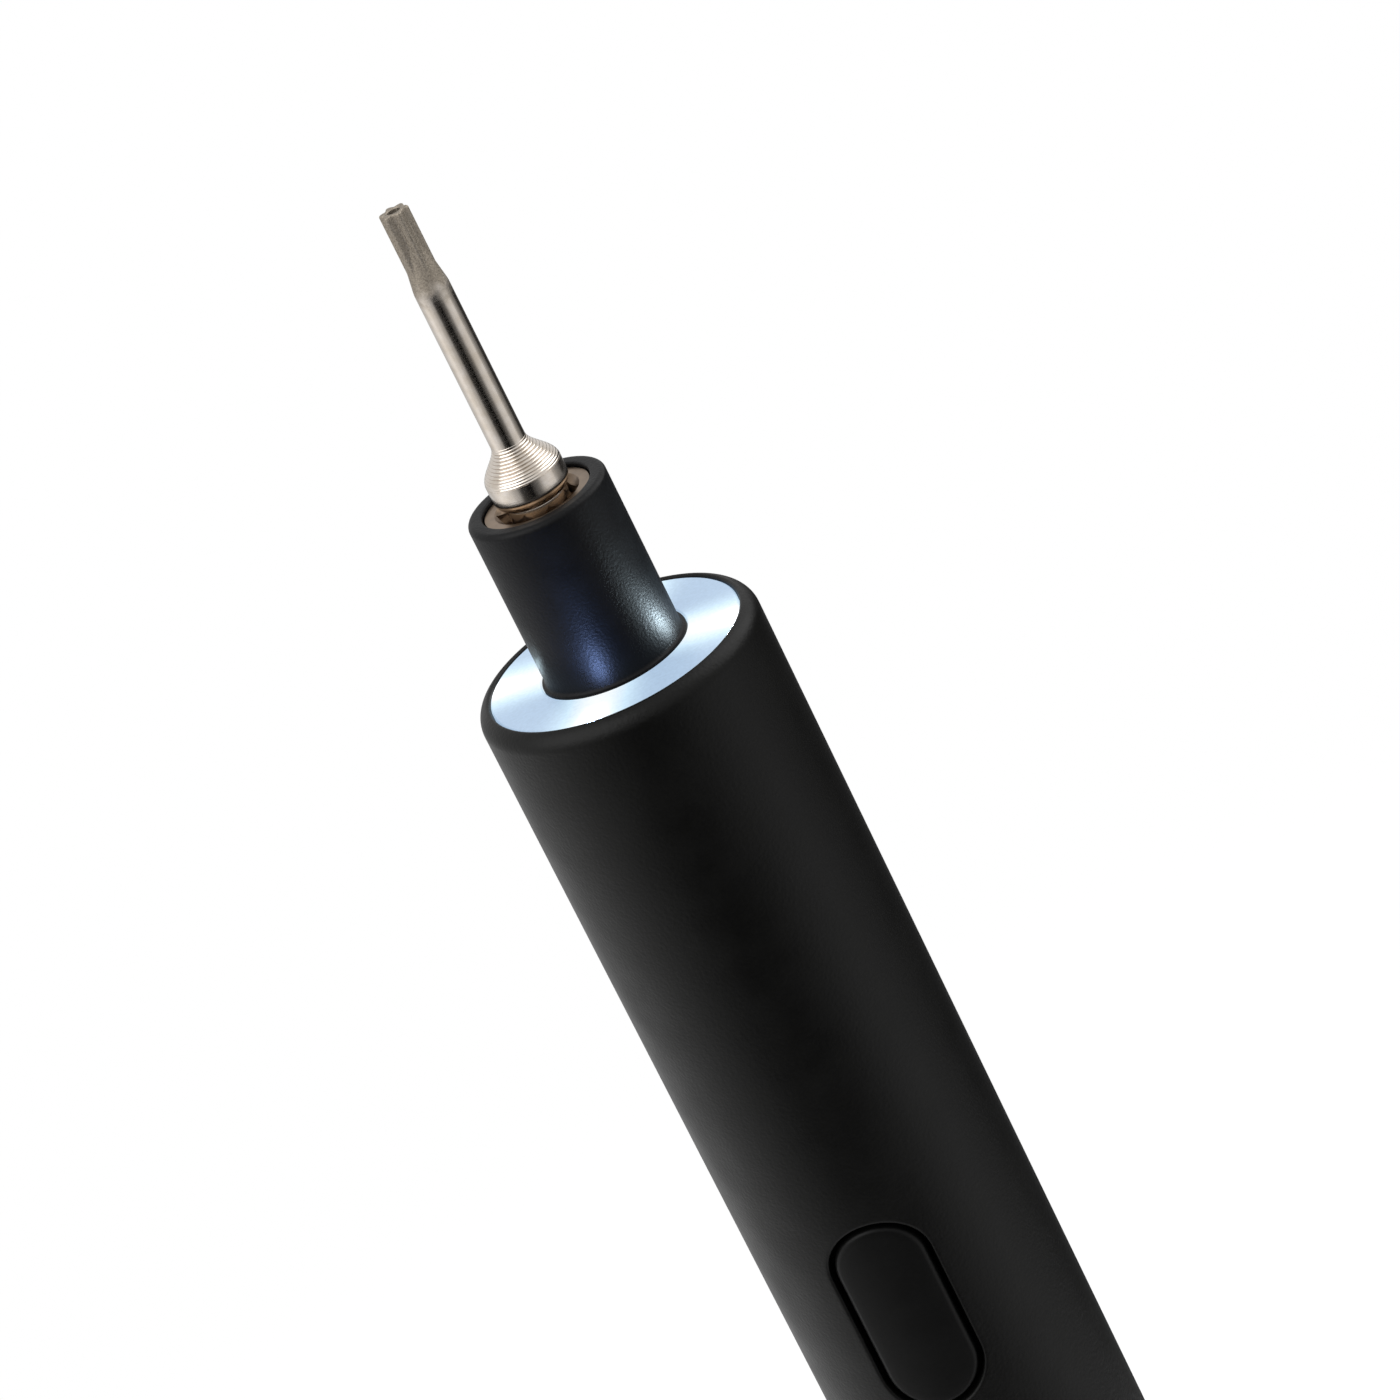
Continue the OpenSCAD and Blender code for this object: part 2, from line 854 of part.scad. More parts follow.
// Plastic end of the motor
module motor_end_bell() {
    color([0.88, 0.88, 0.84])
        difference() {
            drum(motor_r, can_end, motor_end);
            drum(motor_bush_r, can_end - over, motor_end + over);
            for (end = [-1, 1])
                translate([end * terminal_x, 0, 0])
                    slab(terminal_t + 0.1, -terminal_w / 2 - 0.1, terminal_w / 2 + 0.1, can_end - over,
                        motor_end + over);
        }
}

module motor_terminals() {
    color([0.85, 0.7, 0.35])
        for (end = [-1, 1])
            translate([end * terminal_x, 0, 0])
                slab(terminal_t, -terminal_w / 2, terminal_w / 2, can_end, board_depth - 0.1);
}

// Tube and cross walls that the two chassis halves are cut from
module chassis_form() {
    wall_r = chassis_r - chassis_wall / 2;
    difference() {
        union() {
            sleeve(chassis_bore_r, chassis_r, chassis_depth, chassis_end);
            drum(wall_r, motor_wall_depth, motor_wall_depth + motor_wall_t);
            drum(wall_r, middle_depth, middle_depth + post_wall_t);
            drum(wall_r, rear_depth, rear_depth + post_wall_t);
        }
        for (end = [-1, 1])
            translate([end * terminal_x, 0, 0])
                slab(terminal_t + slack, -terminal_w / 2 - slack, terminal_w / 2 + slack,
                    motor_wall_depth - over, board_depth);
        drum(motor_bush_r + fit, motor_wall_depth - over, board_depth);
        for (depth = [middle_depth, rear_depth])
            slab(lead_slot, -lead_slot / 2, lead_slot / 2, depth - over, depth + post_wall_t + over);
        for (x = [-screw_x, screw_x], depth = screw_depths) {
            y_rod(screw_r, x, ring_z - depth, screw_head_y - screw_l - 0.2, screw_head_y);
            y_rod(screw_r + slack / 2, x, ring_z - depth, 0, screw_head_y);
            y_rod(screw_head_r + slack / 2, x, ring_z - depth, screw_head_y, bore_r);
        }
    }
}

// Upper half, with the button's window and the two blocks that hold the rocker pin
module chassis_upper() {
    color([0.16, 0.16, 0.17])
        difference() {
            union() {
                intersection() {
                    chassis_form();
                    slab(body_d, -body_r, -split_gap, chassis_depth, ring_z);
                }
                intersection() {
                    for (end = [-1, 1])
                        translate([end * (window_w / 2 + pivot_w / 2), 0, 0])
                            slab(pivot_w, -body_r, rocker_y + pivot_drop, button_depth - pivot_l / 2,
                                button_depth + pivot_l / 2);
                    drum(chassis_r, chassis_depth, ring_z);
                }
            }
            button_prism(window_l, window_w, -body_r, board_top_y);
            translate([-body_r, rocker_y, button_z])
                rotate([0, 90, 0])
                    cylinder(r = rocker_pin_r, h = body_d, $fn = 32);
        }
}

// Rib across the lower half that a board rests on, with a window for its packages
module rib(w, y_top, y_window, depth) {
    difference() {
        slab(w, y_top, body_r, depth - rib_t / 2, depth + rib_t / 2);
        slab(w / 2, y_window, chassis_bore_r - 2 * rib_t, depth - rib_t, depth + rib_t);
    }
}

module chassis_lower() {
    color([0.16, 0.16, 0.17]) {
        intersection() {
            chassis_form();
            slab(body_d, split_gap, body_r, chassis_depth, ring_z);
        }
        intersection() {
            union() {
                for (end = [-1, 1])
                    rib(board_w - rib_t, board_y + fit, board_y + rib_t,
                        button_depth + end * switch_pitch);
                for (depth = [charge_depth + 2 * rib_t, chassis_end - 2 * rib_t])
                    rib(charge_w - rib_t, charge_y + board_t + fit, charge_y + board_t + rib_t, depth);
            }
            drum(chassis_bore_r + chassis_wall / 2, chassis_depth, ring_z);
        }
    }
}

// Four cross-point screws that clamp the halves, their heads in the lower half
module chassis_screws() {
    color([0.35, 0.35, 0.37])
        for (x = [-screw_x, screw_x], depth = screw_depths) {
            y_rod(screw_r, x, ring_z - depth, screw_head_y - screw_l, screw_head_y + screw_head_t / 2);
            difference() {
                y_rod(screw_head_r, x, ring_z - depth, screw_head_y, screw_head_y + screw_head_t);
                for (turn = [0, 90])
                    translate([x, screw_head_y + screw_head_t, ring_z - depth])
                        rotate([0, turn, 0])
                            cube([screw_cross_l, screw_head_t, screw_cross_w], center = true);
            }
        }
}

// Board under the button
module main_board() {
    color([0.05, 0.25, 0.12])
        slab(board_w, board_top_y, board_y, board_depth, board_end);
}

// Package on a board: its face on the board at y, its body towards side
module package(size, x, y, side, depth) {
    translate([x - size[1] / 2, side > 0 ? y : y - size[2], ring_z - depth - size[0]])
        cube([size[1], size[2], size[0]]);
}

// Controller and driver under the main board, motion sensor on top of it
module board_chips() {
    color([0.1, 0.1, 0.11]) {
        package(controller, 0, board_y, 1, button_depth - controller[0] / 2);
        package(driver, 0, board_y, 1, button_depth + switch_pitch + rib_t);
        package(sensor, 0, board_top_y, -1, board_end - sensor[0] - rib_t);
    }
}

module switch_bodies() {
    color([0.82, 0.82, 0.84])
        for (end = [-1, 1])
            difference() {
                slab(switch_w, switch_top_y, board_top_y, button_depth + end * switch_pitch - switch_l / 2,
                    button_depth + end * switch_pitch + switch_l / 2);
                y_rod(plunger_r + fit, 0, button_z - end * switch_pitch, switch_top_y - over,
                    board_top_y - side);
            }
}

// Round plunger of one switch
module plunger(end) {
    y_rod(plunger_r, 0, button_z + end * switch_pitch, plunger_top_y, switch_top_y + plunger_root);
}

module switch_plunger_front() {
    color([0.2, 0.2, 0.2])
        plunger(1);
}

module switch_plunger_rear() {
    color([0.2, 0.2, 0.2])
        plunger(-1);
}

// Rocker: a cap that follows the tube's curve, a retaining flange, a hub and two feet
module rocker_button() {
    foot_end_y = plunger_top_y - foot_gap;
    color([0.07, 0.07, 0.07])
        difference() {
            union() {
                intersection() {
                    button_prism(cap_l, 2 * cap_r, -body_r, rocker_flange_y);
                    drum(rocker_skin_r, chassis_depth, ring_z);
                }
                intersection() {
                    button_prism(cap_l + 2 * rocker_flange_over, 2 * (cap_r + rocker_flange_over),
                        -body_r, rocker_flange_y);
                    drum(rocker_flange_r, chassis_depth, ring_z);
                }
                translate([-cap_r, rocker_y, button_z])
                    rotate([0, 90, 0])
                        cylinder(r = rocker_hub_r, h = 2 * cap_r, $fn = 32);
                for (end = [-1, 1])
                    y_rod(foot_r, 0, button_z + end * switch_pitch, rocker_flange_y - 0.1, foot_end_y);
            }
            translate([-body_r, rocker_y, button_z])
                rotate([0, 90, 0])
                    cylinder(r = rocker_pin_r + run, h = body_d, $fn = 32);
        }
}

module rocker_pin() {
    pin_l = window_w + 2 * rocker_pin_seat;
    color([0.8, 0.8, 0.82])
        translate([-pin_l / 2, rocker_y, button_z])
            rotate([0, 90, 0])
                cylinder(r = rocker_pin_r, h = pin_l, $fn = 32);
}

module battery_cell() {
    color([0.15, 0.3, 0.55])
        drum(cell_r, cell_depth, cell_depth + cell_l);
}

// Nickel strip welded on one end of the cell and led through the wall beside it
module cell_tab(end_depth, wall_depth) {
    low = min(end_depth, wall_depth);
    high = max(end_depth, wall_depth);
    flat = wall_depth < end_depth ? end_depth - tab_t : end_depth;
    slab(tab_w, -tab_reach, tab_t / 2, flat, flat + tab_t);
    slab(tab_w, -tab_t / 2, tab_t / 2, low, high);
}

module battery_tabs() {
    color([0.8, 0.8, 0.8]) {
        cell_tab(cell_depth, middle_depth);
        cell_tab(cell_depth + cell_l, rear_depth + post_wall_t);
    }
}

module charge_board() {
    color([0.05, 0.25, 0.12])
        slab(charge_w, charge_y, charge_y + board_t, charge_depth, charge_depth + charge_l);
}

module charge_chips() {
    color([0.1, 0.1, 0.11]) {
        package(charger, 0, charge_y, -1, charge_depth + 2);
        package(inductor, 0, charge_y, -1, charge_depth + 4 + charger[0]);
    }
}

// Metal hood of the charging port
module usb_receptacle() {
    color([0.75, 0.75, 0.77])
        difference() {
            translate([0, 0, usb_inset])
                linear_extrude(usb_l)
                    rotate(90)
                        obround(usb_w, usb_h);
            translate([0, 0, usb_inset - over])
                linear_extrude(usb_l)
                    rotate(90)
                        obround(usb_w - 2 * usb_wall, usb_h - 2 * usb_wall);
        }
}

module usb_tongue() {
    color([0.1, 0.1, 0.1])
        translate([-tongue_w / 2, -tongue_h / 2, usb_inset + tongue_inset])
            cube([tongue_w, tongue_h, usb_l - usb_wall - 2 * tongue_inset]);
}

body_tube();
end_cap();
cap_o_ring();
nose_sleeve();
front_bush();
light_ring();
led_board();
leds();
bearing_plate();
bearing_outer_race();
bearing_inner_race();
bearing_balls();
bearing_cage();
gearbox_case();
motor_plate();
motor_plate_screws();
spindle();
socket_magnet();
bit();
second_carrier();
second_pins();
second_planet_a();
second_planet_b();
second_planet_c();
first_carrier();
first_pins();
first_planet_a();
first_planet_b();
first_planet_c();
motor_pinion();
motor_shaft();
armature_core();
armature_windings();
commutator();
motor_can();
motor_magnets();
motor_bushes();
motor_brushes();
motor_end_bell();
motor_terminals();
chassis_upper();
chassis_lower();
chassis_screws();
main_board();
board_chips();
switch_bodies();
switch_plunger_front();
switch_plunger_rear();
rocker_button();
rocker_pin();
battery_cell();
battery_tabs();
charge_board();
charge_chips();
usb_receptacle();
usb_tongue();
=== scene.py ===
"""Cordless torque screwdriver with a lit nose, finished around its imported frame."""

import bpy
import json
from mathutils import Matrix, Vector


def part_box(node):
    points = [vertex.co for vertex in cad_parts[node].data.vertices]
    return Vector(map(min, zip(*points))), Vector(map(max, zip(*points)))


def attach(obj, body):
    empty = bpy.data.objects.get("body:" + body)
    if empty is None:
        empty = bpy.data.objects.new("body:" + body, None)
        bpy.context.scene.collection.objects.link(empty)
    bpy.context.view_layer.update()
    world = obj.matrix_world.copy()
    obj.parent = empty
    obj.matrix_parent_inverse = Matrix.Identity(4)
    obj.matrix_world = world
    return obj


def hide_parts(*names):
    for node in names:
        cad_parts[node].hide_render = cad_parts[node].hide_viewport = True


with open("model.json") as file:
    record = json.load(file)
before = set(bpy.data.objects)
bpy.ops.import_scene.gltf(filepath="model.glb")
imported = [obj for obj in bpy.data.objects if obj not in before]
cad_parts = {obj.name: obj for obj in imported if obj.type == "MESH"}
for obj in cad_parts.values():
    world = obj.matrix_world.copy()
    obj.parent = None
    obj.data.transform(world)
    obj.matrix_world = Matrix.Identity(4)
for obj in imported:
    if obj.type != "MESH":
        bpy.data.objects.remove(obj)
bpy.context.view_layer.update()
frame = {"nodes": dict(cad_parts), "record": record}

import json
import math

import bmesh
import bpy
from mathutils import Matrix, Vector

bl_info = {
    "name": "Torque Screwdriver",
    "version": (1, 0, 0),
    "blender": (4, 5, 0),
    "location": "View3D > Sidebar > Screwdriver",
    "description": "Dresses the packed torque screwdriver with its turned, moulded and lit pieces",
    "category": "Object",
}

MM = 0.001

# Places taken from the frame
RING_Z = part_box("light_ring")[1].z
TIP_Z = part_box("bit")[1].z
TUBE_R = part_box("body_tube")[1].x
TUBE_BACK_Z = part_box("body_tube")[0].z
RIM_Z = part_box("body_tube")[1].z
FLANGE_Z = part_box("nose_sleeve")[0].z
SLEEVE_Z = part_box("nose_sleeve")[1].z
SOCKET_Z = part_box("spindle")[1].z
BIT_REAR_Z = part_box("bit")[0].z
BUSH_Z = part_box("front_bush")[1].z
BUTTON_LOW, BUTTON_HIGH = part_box("rocker_button")
BUTTON_Z = (BUTTON_LOW.z + BUTTON_HIGH.z) / 2
PLUNGER_LOW, PLUNGER_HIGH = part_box("switch_plunger_front")
SWITCH_PITCH = (PLUNGER_LOW.z + PLUNGER_HIGH.z) / 2 - BUTTON_Z
PIN_LOW, PIN_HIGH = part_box("rocker_pin")
PIN_Y = (PIN_LOW.y + PIN_HIGH.y) / 2

# Parts of the rocker that the tube hides
ROCKER_DROP = 0.05 * MM
ROCKER_FLANGE_R = 6.65 * MM
ROCKER_FLANGE_OVER = 0.45 * MM
ROCKER_FLOOR_Y = -5.85 * MM
FOOT_TOP_Y = -6.1 * MM
FOOT_R = 0.8 * MM

# Lower parts of the sleeve and the ring, inside the tube
BAND_R = 7.1 * MM
BAND_DEPTH = 2.7 * MM
FLANGE_BORE_R = 3.45 * MM
SKIRT_WALL = 0.5 * MM
SKIRT_L = 0.6 * MM

# Tip, neck and shoulder of the bit, as distances along it
HOLE_DEPTH = 1.2 * MM
STAR_L = 2.0 * MM
NECK_L = 4.5 * MM
SHOULDER_FRONT_Z = SOCKET_Z + 3.6 * MM
SHOULDER_BACK_Z = SOCKET_Z + 1.75 * MM
COLLAR_OVER = 0.12 * MM


# ---------------------------------------------------------------- sizes and colours


def length(label, description, default):
    return bpy.props.FloatProperty(
        name=label, description=description, default=default, min=0, unit="LENGTH", precision=5
    )


def tint(label, description, default):
    return bpy.props.FloatVectorProperty(
        name=label, description=description, default=default, min=0, max=1, size=3, subtype="COLOR"
    )


class TubeSizes(bpy.types.PropertyGroup):
    bore: length("Bore radius", "Radius of the tube's bore", 7.0 * MM)
    mouth: length("Mouth radius", "Radius of the counterbore behind the rim", 7.15 * MM)
    rim_round: length("Rim rounding", "Rounding of the front rim", 1.1 * MM)
    seam: length("Seam chamfer", "Chamfer where the tube meets the tail cap", 0.1 * MM)
    colour: tint("Anodising", "Colour of the blasted and anodised tube", (0.0018, 0.0018, 0.0016))


class SlotSizes(bpy.types.PropertyGroup):
    slot_length: length("Slot length", "Length of the opening for the rocker", 12.55 * MM)
    slot_width: length("Slot width", "Width of the opening for the rocker", 5.7 * MM)
    edge_round: length("Edge rounding", "Rounding of the slot's outer edge", 0.22 * MM)
    clearance: length("Clearance", "Room between the rocker and the slot", 0.3 * MM)
    cap_round: length("Rocker rounding", "Rounding of the rocker's upper edge", 0.3 * MM)
    foot_clearance: length("Foot clearance", "Room from the rocker's feet to the plungers at rest", 0.22 * MM)
    colour: tint("Rocker", "Colour of the moulded rocker", (0.0020, 0.0020, 0.0019))


class NoseSizes(bpy.types.PropertyGroup):
    outer: length("Sleeve radius", "Outer radius of the nose sleeve", 3.9 * MM)
    inner: length("Mouth radius", "Radius of the sleeve's mouth", 3.05 * MM)
    lip_round: length("Lip rounding", "Rounding of the sleeve's front lip", 0.32 * MM)
    root: length("Root fillet", "Fillet between the sleeve and the light ring", 0.24 * MM)
    colour: tint("Anodising", "Colour of the nose sleeve", (0.0012, 0.0013, 0.0017))


class RingSizes(bpy.types.PropertyGroup):
    inner: length("Inner radius", "Inner radius of the light ring", 4.18 * MM)
    outer: length("Outer radius", "Outer radius of the light ring", 7.1 * MM)
    thickness: length("Thickness", "Thickness of the light ring", 1.3 * MM)
    lamps: bpy.props.IntProperty(
        name="Lamps", description="Number of LEDs behind the ring", default=4, min=1
    )
    turn: bpy.props.FloatProperty(
        name="Turn", description="Angle of the first LED about the axis",
        default=math.radians(-98), subtype="ANGLE",
    )
    glow: bpy.props.FloatProperty(
        name="Glow", description="Strength of the light where an LED sits", default=1.5, min=0
    )
    colour: tint("Light", "Colour of the ring between two LEDs", (0.36, 0.50, 0.68))
    orbit: length("LED orbit", "Radius on which the LEDs sit", 6.3 * MM)
    power: bpy.props.FloatProperty(
        name="LED power", description="Power of one LED in watts", default=0.0024, min=0
    )


class BitSizes(bpy.types.PropertyGroup):
    shank: length("Shank radius", "Radius of the round shank", 0.97 * MM)
    hexagon: length("Across flats", "Width of the hexagon across its flats", 4.0 * MM)
    corner: length("Corner radius", "Radius to which the hexagon's corners are turned", 2.2 * MM)
    lobe: length("Lobe radius", "Radius over the six lobes of the tip", 0.81 * MM)
    valley: length("Valley radius", "Radius between the six lobes of the tip", 0.583 * MM)
    hole: length("Hole radius", "Radius of the hole in the tip", 0.373 * MM)
    rings: bpy.props.IntProperty(
        name="Rings", description="Turned rings on the shoulder", default=13, min=3
    )
    groove: length("Groove", "Depth of the turned grooves", 0.07 * MM)
    colour: tint("Nickel", "Colour of the plated bit", (0.60, 0.55, 0.50))


class StageLook(bpy.types.PropertyGroup):
    floor: length("Floor radius", "Radius of the floor", 2.0)
    lens: bpy.props.FloatProperty(
        name="Lens", description="Focal length in millimetres", default=136.5, min=1
    )
    key: bpy.props.FloatProperty(
        name="Key lamp", description="Power of the key lamp in watts", default=9.6, min=0
    )
    rim: bpy.props.FloatProperty(
        name="Rim lamp", description="Power of the lamp behind the tool in watts", default=4.8, min=0
    )
    fill: bpy.props.FloatProperty(
        name="Fill", description="Strength of the even fill light", default=0.55, min=0
    )


SETTINGS = {
    "driver_tube": TubeSizes,
    "driver_slot": SlotSizes,
    "driver_nose": NoseSizes,
    "driver_ring": RingSizes,
    "driver_bit": BitSizes,
    "driver_stage": StageLook,
}


# ---------------------------------------------------------------- node trees


def put(tree, kind, inputs=None, **settings):
    """Adds a node, sets its options, and fills or links its inputs."""
    made = tree.nodes.new(kind)
    for key, value in settings.items():
        setattr(made, key, value)
    for key, value in (inputs or {}).items():
        if isinstance(value, bpy.types.NodeSocket):
            tree.links.new(value, made.inputs[key])
        else:
            made.inputs[key].default_value = value
    return made


def sum_of(tree, kind, a, b=None, c=None, **settings):
    """Result of one arithmetic node."""
    given = {i: v for i, v in enumerate((a, b, c)) if v is not None}
    return put(tree, "ShaderNodeMath", given, operation=kind, **settings).outputs[0]


def surface(name, colour, roughness, metallic=0.0, specular=0.5, coat=0.0):
    """New material with its tree and its shader; what is even all over sits on the shader."""
    made = bpy.data.materials.new(name)
    made.use_nodes = True
    tree = made.node_tree
    shader = tree.nodes["Principled BSDF"]
    shader.inputs["Base Color"].default_value = (*colour, 1)
    shader.inputs["Roughness"].default_value = roughness
    shader.inputs["Metallic"].default_value = metallic
    shader.inputs["Specular IOR Level"].default_value = specular
    shader.inputs["Coat Weight"].default_value = coat
    made.diffuse_color = (*colour, 1)
    return made, tree, shader


def place(tree, stretch=(1, 1, 1)):
    """Object coordinates, stretched for a grain that runs one way."""
    coordinates = put(tree, "ShaderNodeTexCoord").outputs["Object"]
    if stretch == (1, 1, 1):
        return coordinates
    return put(tree, "ShaderNodeMapping", {"Vector": coordinates, "Scale": stretch}).outputs[0]


def grain(tree, where, size, detail=2.0):
    """Noise whose grain has about the given size in metres."""
    noise = put(tree, "ShaderNodeTexNoise", {"Vector": where, "Scale": 1 / size, "Detail": detail})
    return noise.outputs["Fac"]


def blend_colours(tree, factor, first, second):
    mixer = put(tree, "ShaderNodeMix", {0: factor}, data_type="RGBA")
    for socket, value in ((mixer.inputs[6], first), (mixer.inputs[7], second)):
        if isinstance(value, bpy.types.NodeSocket):
            tree.links.new(value, socket)
        else:
            socket.default_value = (*value, 1)
    return mixer.outputs[2]


def stretch_range(tree, value, low, high, to_low, to_high):
    return put(
        tree, "ShaderNodeMapRange",
        {"Value": value, "From Min": low, "From Max": high, "To Min": to_low, "To Max": to_high},
    ).outputs[0]


def worked(name, colour, roughness, size, depth, metallic=0.0, shift=0.25, wander=0.12,
           stretch=(1, 1, 1), specular=0.5):
    """Metal or plastic with a fine grain: its colour, roughness and height all vary with it."""
    made, tree, shader = surface(name, colour, roughness, metallic, specular)
    where = place(tree, stretch)
    fine = grain(tree, where, size)
    broad = grain(tree, where, size * 14, 3)
    darker = tuple(c * (1 - shift) for c in colour)
    lighter = tuple(min(1, c * (1 + shift)) for c in colour)
    tone = sum_of(tree, "MULTIPLY_ADD", fine, 0.6, sum_of(tree, "MULTIPLY", broad, 0.4))
    spread = stretch_range(tree, tone, 0.3, 0.7, 0, 1)
    tree.links.new(blend_colours(tree, spread, darker, lighter), shader.inputs["Base Color"])
    least, most = roughness * (1 - wander), min(1, roughness * (1 + wander))
    rough = stretch_range(tree, broad, 0.3, 0.7, least, most)
    tree.links.new(rough, shader.inputs["Roughness"])
    bump = put(tree, "ShaderNodeBump", {"Height": fine, "Strength": 0.6, "Distance": depth})
    tree.links.new(bump.outputs[0], shader.inputs["Normal"])
    return made


# ---------------------------------------------------------------- finishes seen from outside


def blasted_anodising(colour):
    """Black anodising over a bead-blasted tube, with fine pits and little gloss."""
    return worked("black_anodised", tuple(colour), 0.42, 0.2 * MM, 0.03 * MM, shift=0.3, wander=0.1,
                  specular=0.13)


def satin_anodising(colour):
    """Black anodising with a fine grain that breaks up the light of the LEDs."""
    return worked("sleeve_black", tuple(colour), 0.47, 0.15 * MM, 0.035 * MM, shift=0.35, wander=0.1,
                  specular=0.12)


def moulded_rocker(colour):
    """Dull moulded plastic, a little smoother than the tube."""
    return worked("button_black", tuple(colour), 0.42, 0.2 * MM, 0.006 * MM, shift=0.3, wander=0.08,
                  specular=0.11)


def lit_diffuser(ring):
    """Frosted plastic lit from behind: white at each LED, icy blue between two."""
    made, tree, shader = surface("frosted_light", (0.08, 0.09, 0.10), 0.4)
    where = place(tree)
    axis = put(tree, "ShaderNodeSeparateXYZ", {"Vector": where})
    around = sum_of(tree, "ARCTAN2", axis.outputs["Y"], axis.outputs["X"])
    phase = sum_of(tree, "MULTIPLY", sum_of(tree, "SUBTRACT", around, ring.turn), float(ring.lamps))
    near = sum_of(tree, "MULTIPLY_ADD", sum_of(tree, "COSINE", phase), 0.5, 0.5)
    flat = put(tree, "ShaderNodeVectorMath", {0: where, 1: (1, 1, 0)}, operation="MULTIPLY").outputs[0]
    radius = put(tree, "ShaderNodeVectorMath", {0: flat}, operation="LENGTH").outputs["Value"]
    outward = stretch_range(tree, radius, ring.inner, ring.outer, 0.0, 1.0)
    frost = grain(tree, where, 0.18 * MM)
    fan = sum_of(tree, "POWER", near, sum_of(tree, "MULTIPLY_ADD", outward, 2.0, 1.0))
    shade = put(tree, "ShaderNodeValToRGB", {"Fac": fan})
    ramp = shade.color_ramp
    ramp.elements[0].color = (*ring.colour, 1)
    ramp.elements[1].color = (0.96, 0.99, 1.0, 1)
    middle = ramp.elements.new(0.45)
    middle.color = (0.60, 0.80, 0.95, 1)
    tree.links.new(shade.outputs[0], shader.inputs["Emission Color"])
    spot = sum_of(tree, "POWER", near, 26.0)
    spot = sum_of(tree, "MULTIPLY", spot, stretch_range(tree, outward, 0.35, 0.85, 0.0, 1.0))
    dusty = stretch_range(tree, frost, 0.25, 0.75, 0.86, 0.98)
    strength = sum_of(tree, "MULTIPLY_ADD", spot, ring.glow, dusty)
    tree.links.new(strength, shader.inputs["Emission Strength"])
    bump = put(tree, "ShaderNodeBump", {"Height": frost, "Strength": 0.3, "Distance": 0.01 * MM})
    tree.links.new(bump.outputs[0], shader.inputs["Normal"])
    return made


def plated_bit(colour):
    """Warm nickel plate with turning marks, blasted and darker at the tip."""
    made, tree, shader = surface("nickel_steel", tuple(colour), 0.24, metallic=1.0)
    where = place(tree)
    turned = grain(tree, place(tree, (0.02, 0.02, 1)), 0.05 * MM, 3)
    mottled = grain(tree, where, 0.6 * MM, 3)
    sandy = grain(tree, where, 0.07 * MM, 2)
    height = put(tree, "ShaderNodeSeparateXYZ", {"Vector": where}).outputs["Z"]
    ragged = sum_of(tree, "MULTIPLY_ADD", mottled, 1.6 * MM, height)
    tip = stretch_range(tree, ragged, TIP_Z - 4.5 * MM, TIP_Z - 3.3 * MM, 0, 1)
    warm = blend_colours(tree, stretch_range(tree, mottled, 0.3, 0.7, 0, 1), tuple(colour),
                         (colour[0] * 0.86, colour[1] * 0.83, colour[2] * 0.78))
    frosted = blend_colours(tree, stretch_range(tree, sandy, 0.3, 0.7, 0, 1),
                            (0.15, 0.13, 0.105), (0.33, 0.29, 0.24))
    tree.links.new(blend_colours(tree, tip, warm, frosted), shader.inputs["Base Color"])
    polished = stretch_range(tree, turned, 0.3, 0.7, 0.12, 0.21)
    blasted = stretch_range(tree, sandy, 0.3, 0.7, 0.5, 0.7)
    both = put(tree, "ShaderNodeMix", {0: tip, 2: polished, 3: blasted}, data_type="FLOAT").outputs[0]
    tree.links.new(both, shader.inputs["Roughness"])
    relief = put(tree, "ShaderNodeMix", {0: tip, 2: sum_of(tree, "MULTIPLY", turned, 0.35), 3: sandy},
                 data_type="FLOAT").outputs[0]
    bump = put(tree, "ShaderNodeBump", {"Height": relief, "Strength": 0.7, "Distance": 0.010 * MM})
    tree.links.new(bump.outputs[0], shader.inputs["Normal"])
    return made


# ---------------------------------------------------------------- meshes


def finish_mesh(piece, material, crease=32):
    """Merges doubles, turns faces outwards, and smooths all but the sharp edges."""
    mesh = bmesh.new()
    mesh.from_mesh(piece.data)
    bmesh.ops.remove_doubles(mesh, verts=mesh.verts, dist=0.0004 * MM)
    loose = [v for v in mesh.verts if not v.link_faces]
    bmesh.ops.delete(mesh, geom=loose, context="VERTS")
    bmesh.ops.recalc_face_normals(mesh, faces=mesh.faces)
    for face in mesh.faces:
        face.smooth = True
    for edge in mesh.edges:
        edge.smooth = len(edge.link_faces) == 2 and edge.calc_face_angle(0) < math.radians(crease)
    mesh.to_mesh(piece.data)
    mesh.free()
    piece.data.materials.clear()
    piece.data.materials.append(material)
    return piece


def new_piece(name, points, faces, material, crease=32):
    data = bpy.data.meshes.new(name)
    data.from_pydata([tuple(p) for p in points], [], faces)
    piece = bpy.data.objects.new(name, data)
    bpy.context.scene.collection.objects.link(piece)
    return finish_mesh(piece, material, crease)


def arc(centre, radius, start, end, steps):
    """Points of a profile's rounding, angles in degrees."""
    return [
        (centre[0] + radius * math.cos(math.radians(a)), centre[1] + radius * math.sin(math.radians(a)))
        for a in (start + (end - start) * i / steps for i in range(steps + 1))
    ]


def ring_faces(rows, count, closed):
    """Quads between rows of points that run round the axis."""
    faces = []
    for i in range(rows if closed else rows - 1):
        below, above = i * count, (i + 1) % rows * count
        for j in range(count):
            k = (j + 1) % count
            faces.append((below + j, below + k, above + k, above + j))
    return faces


def turned(name, profile, material, steps=160, closed=True, crease=32):
    """Piece turned about the tool's axis from a profile of radius and height."""
    points = [
        (r * math.cos(math.tau * j / steps), r * math.sin(math.tau * j / steps), z)
        for r, z in profile
        for j in range(steps)
    ]
    return new_piece(name, points, ring_faces(len(profile), steps, closed), material, crease)


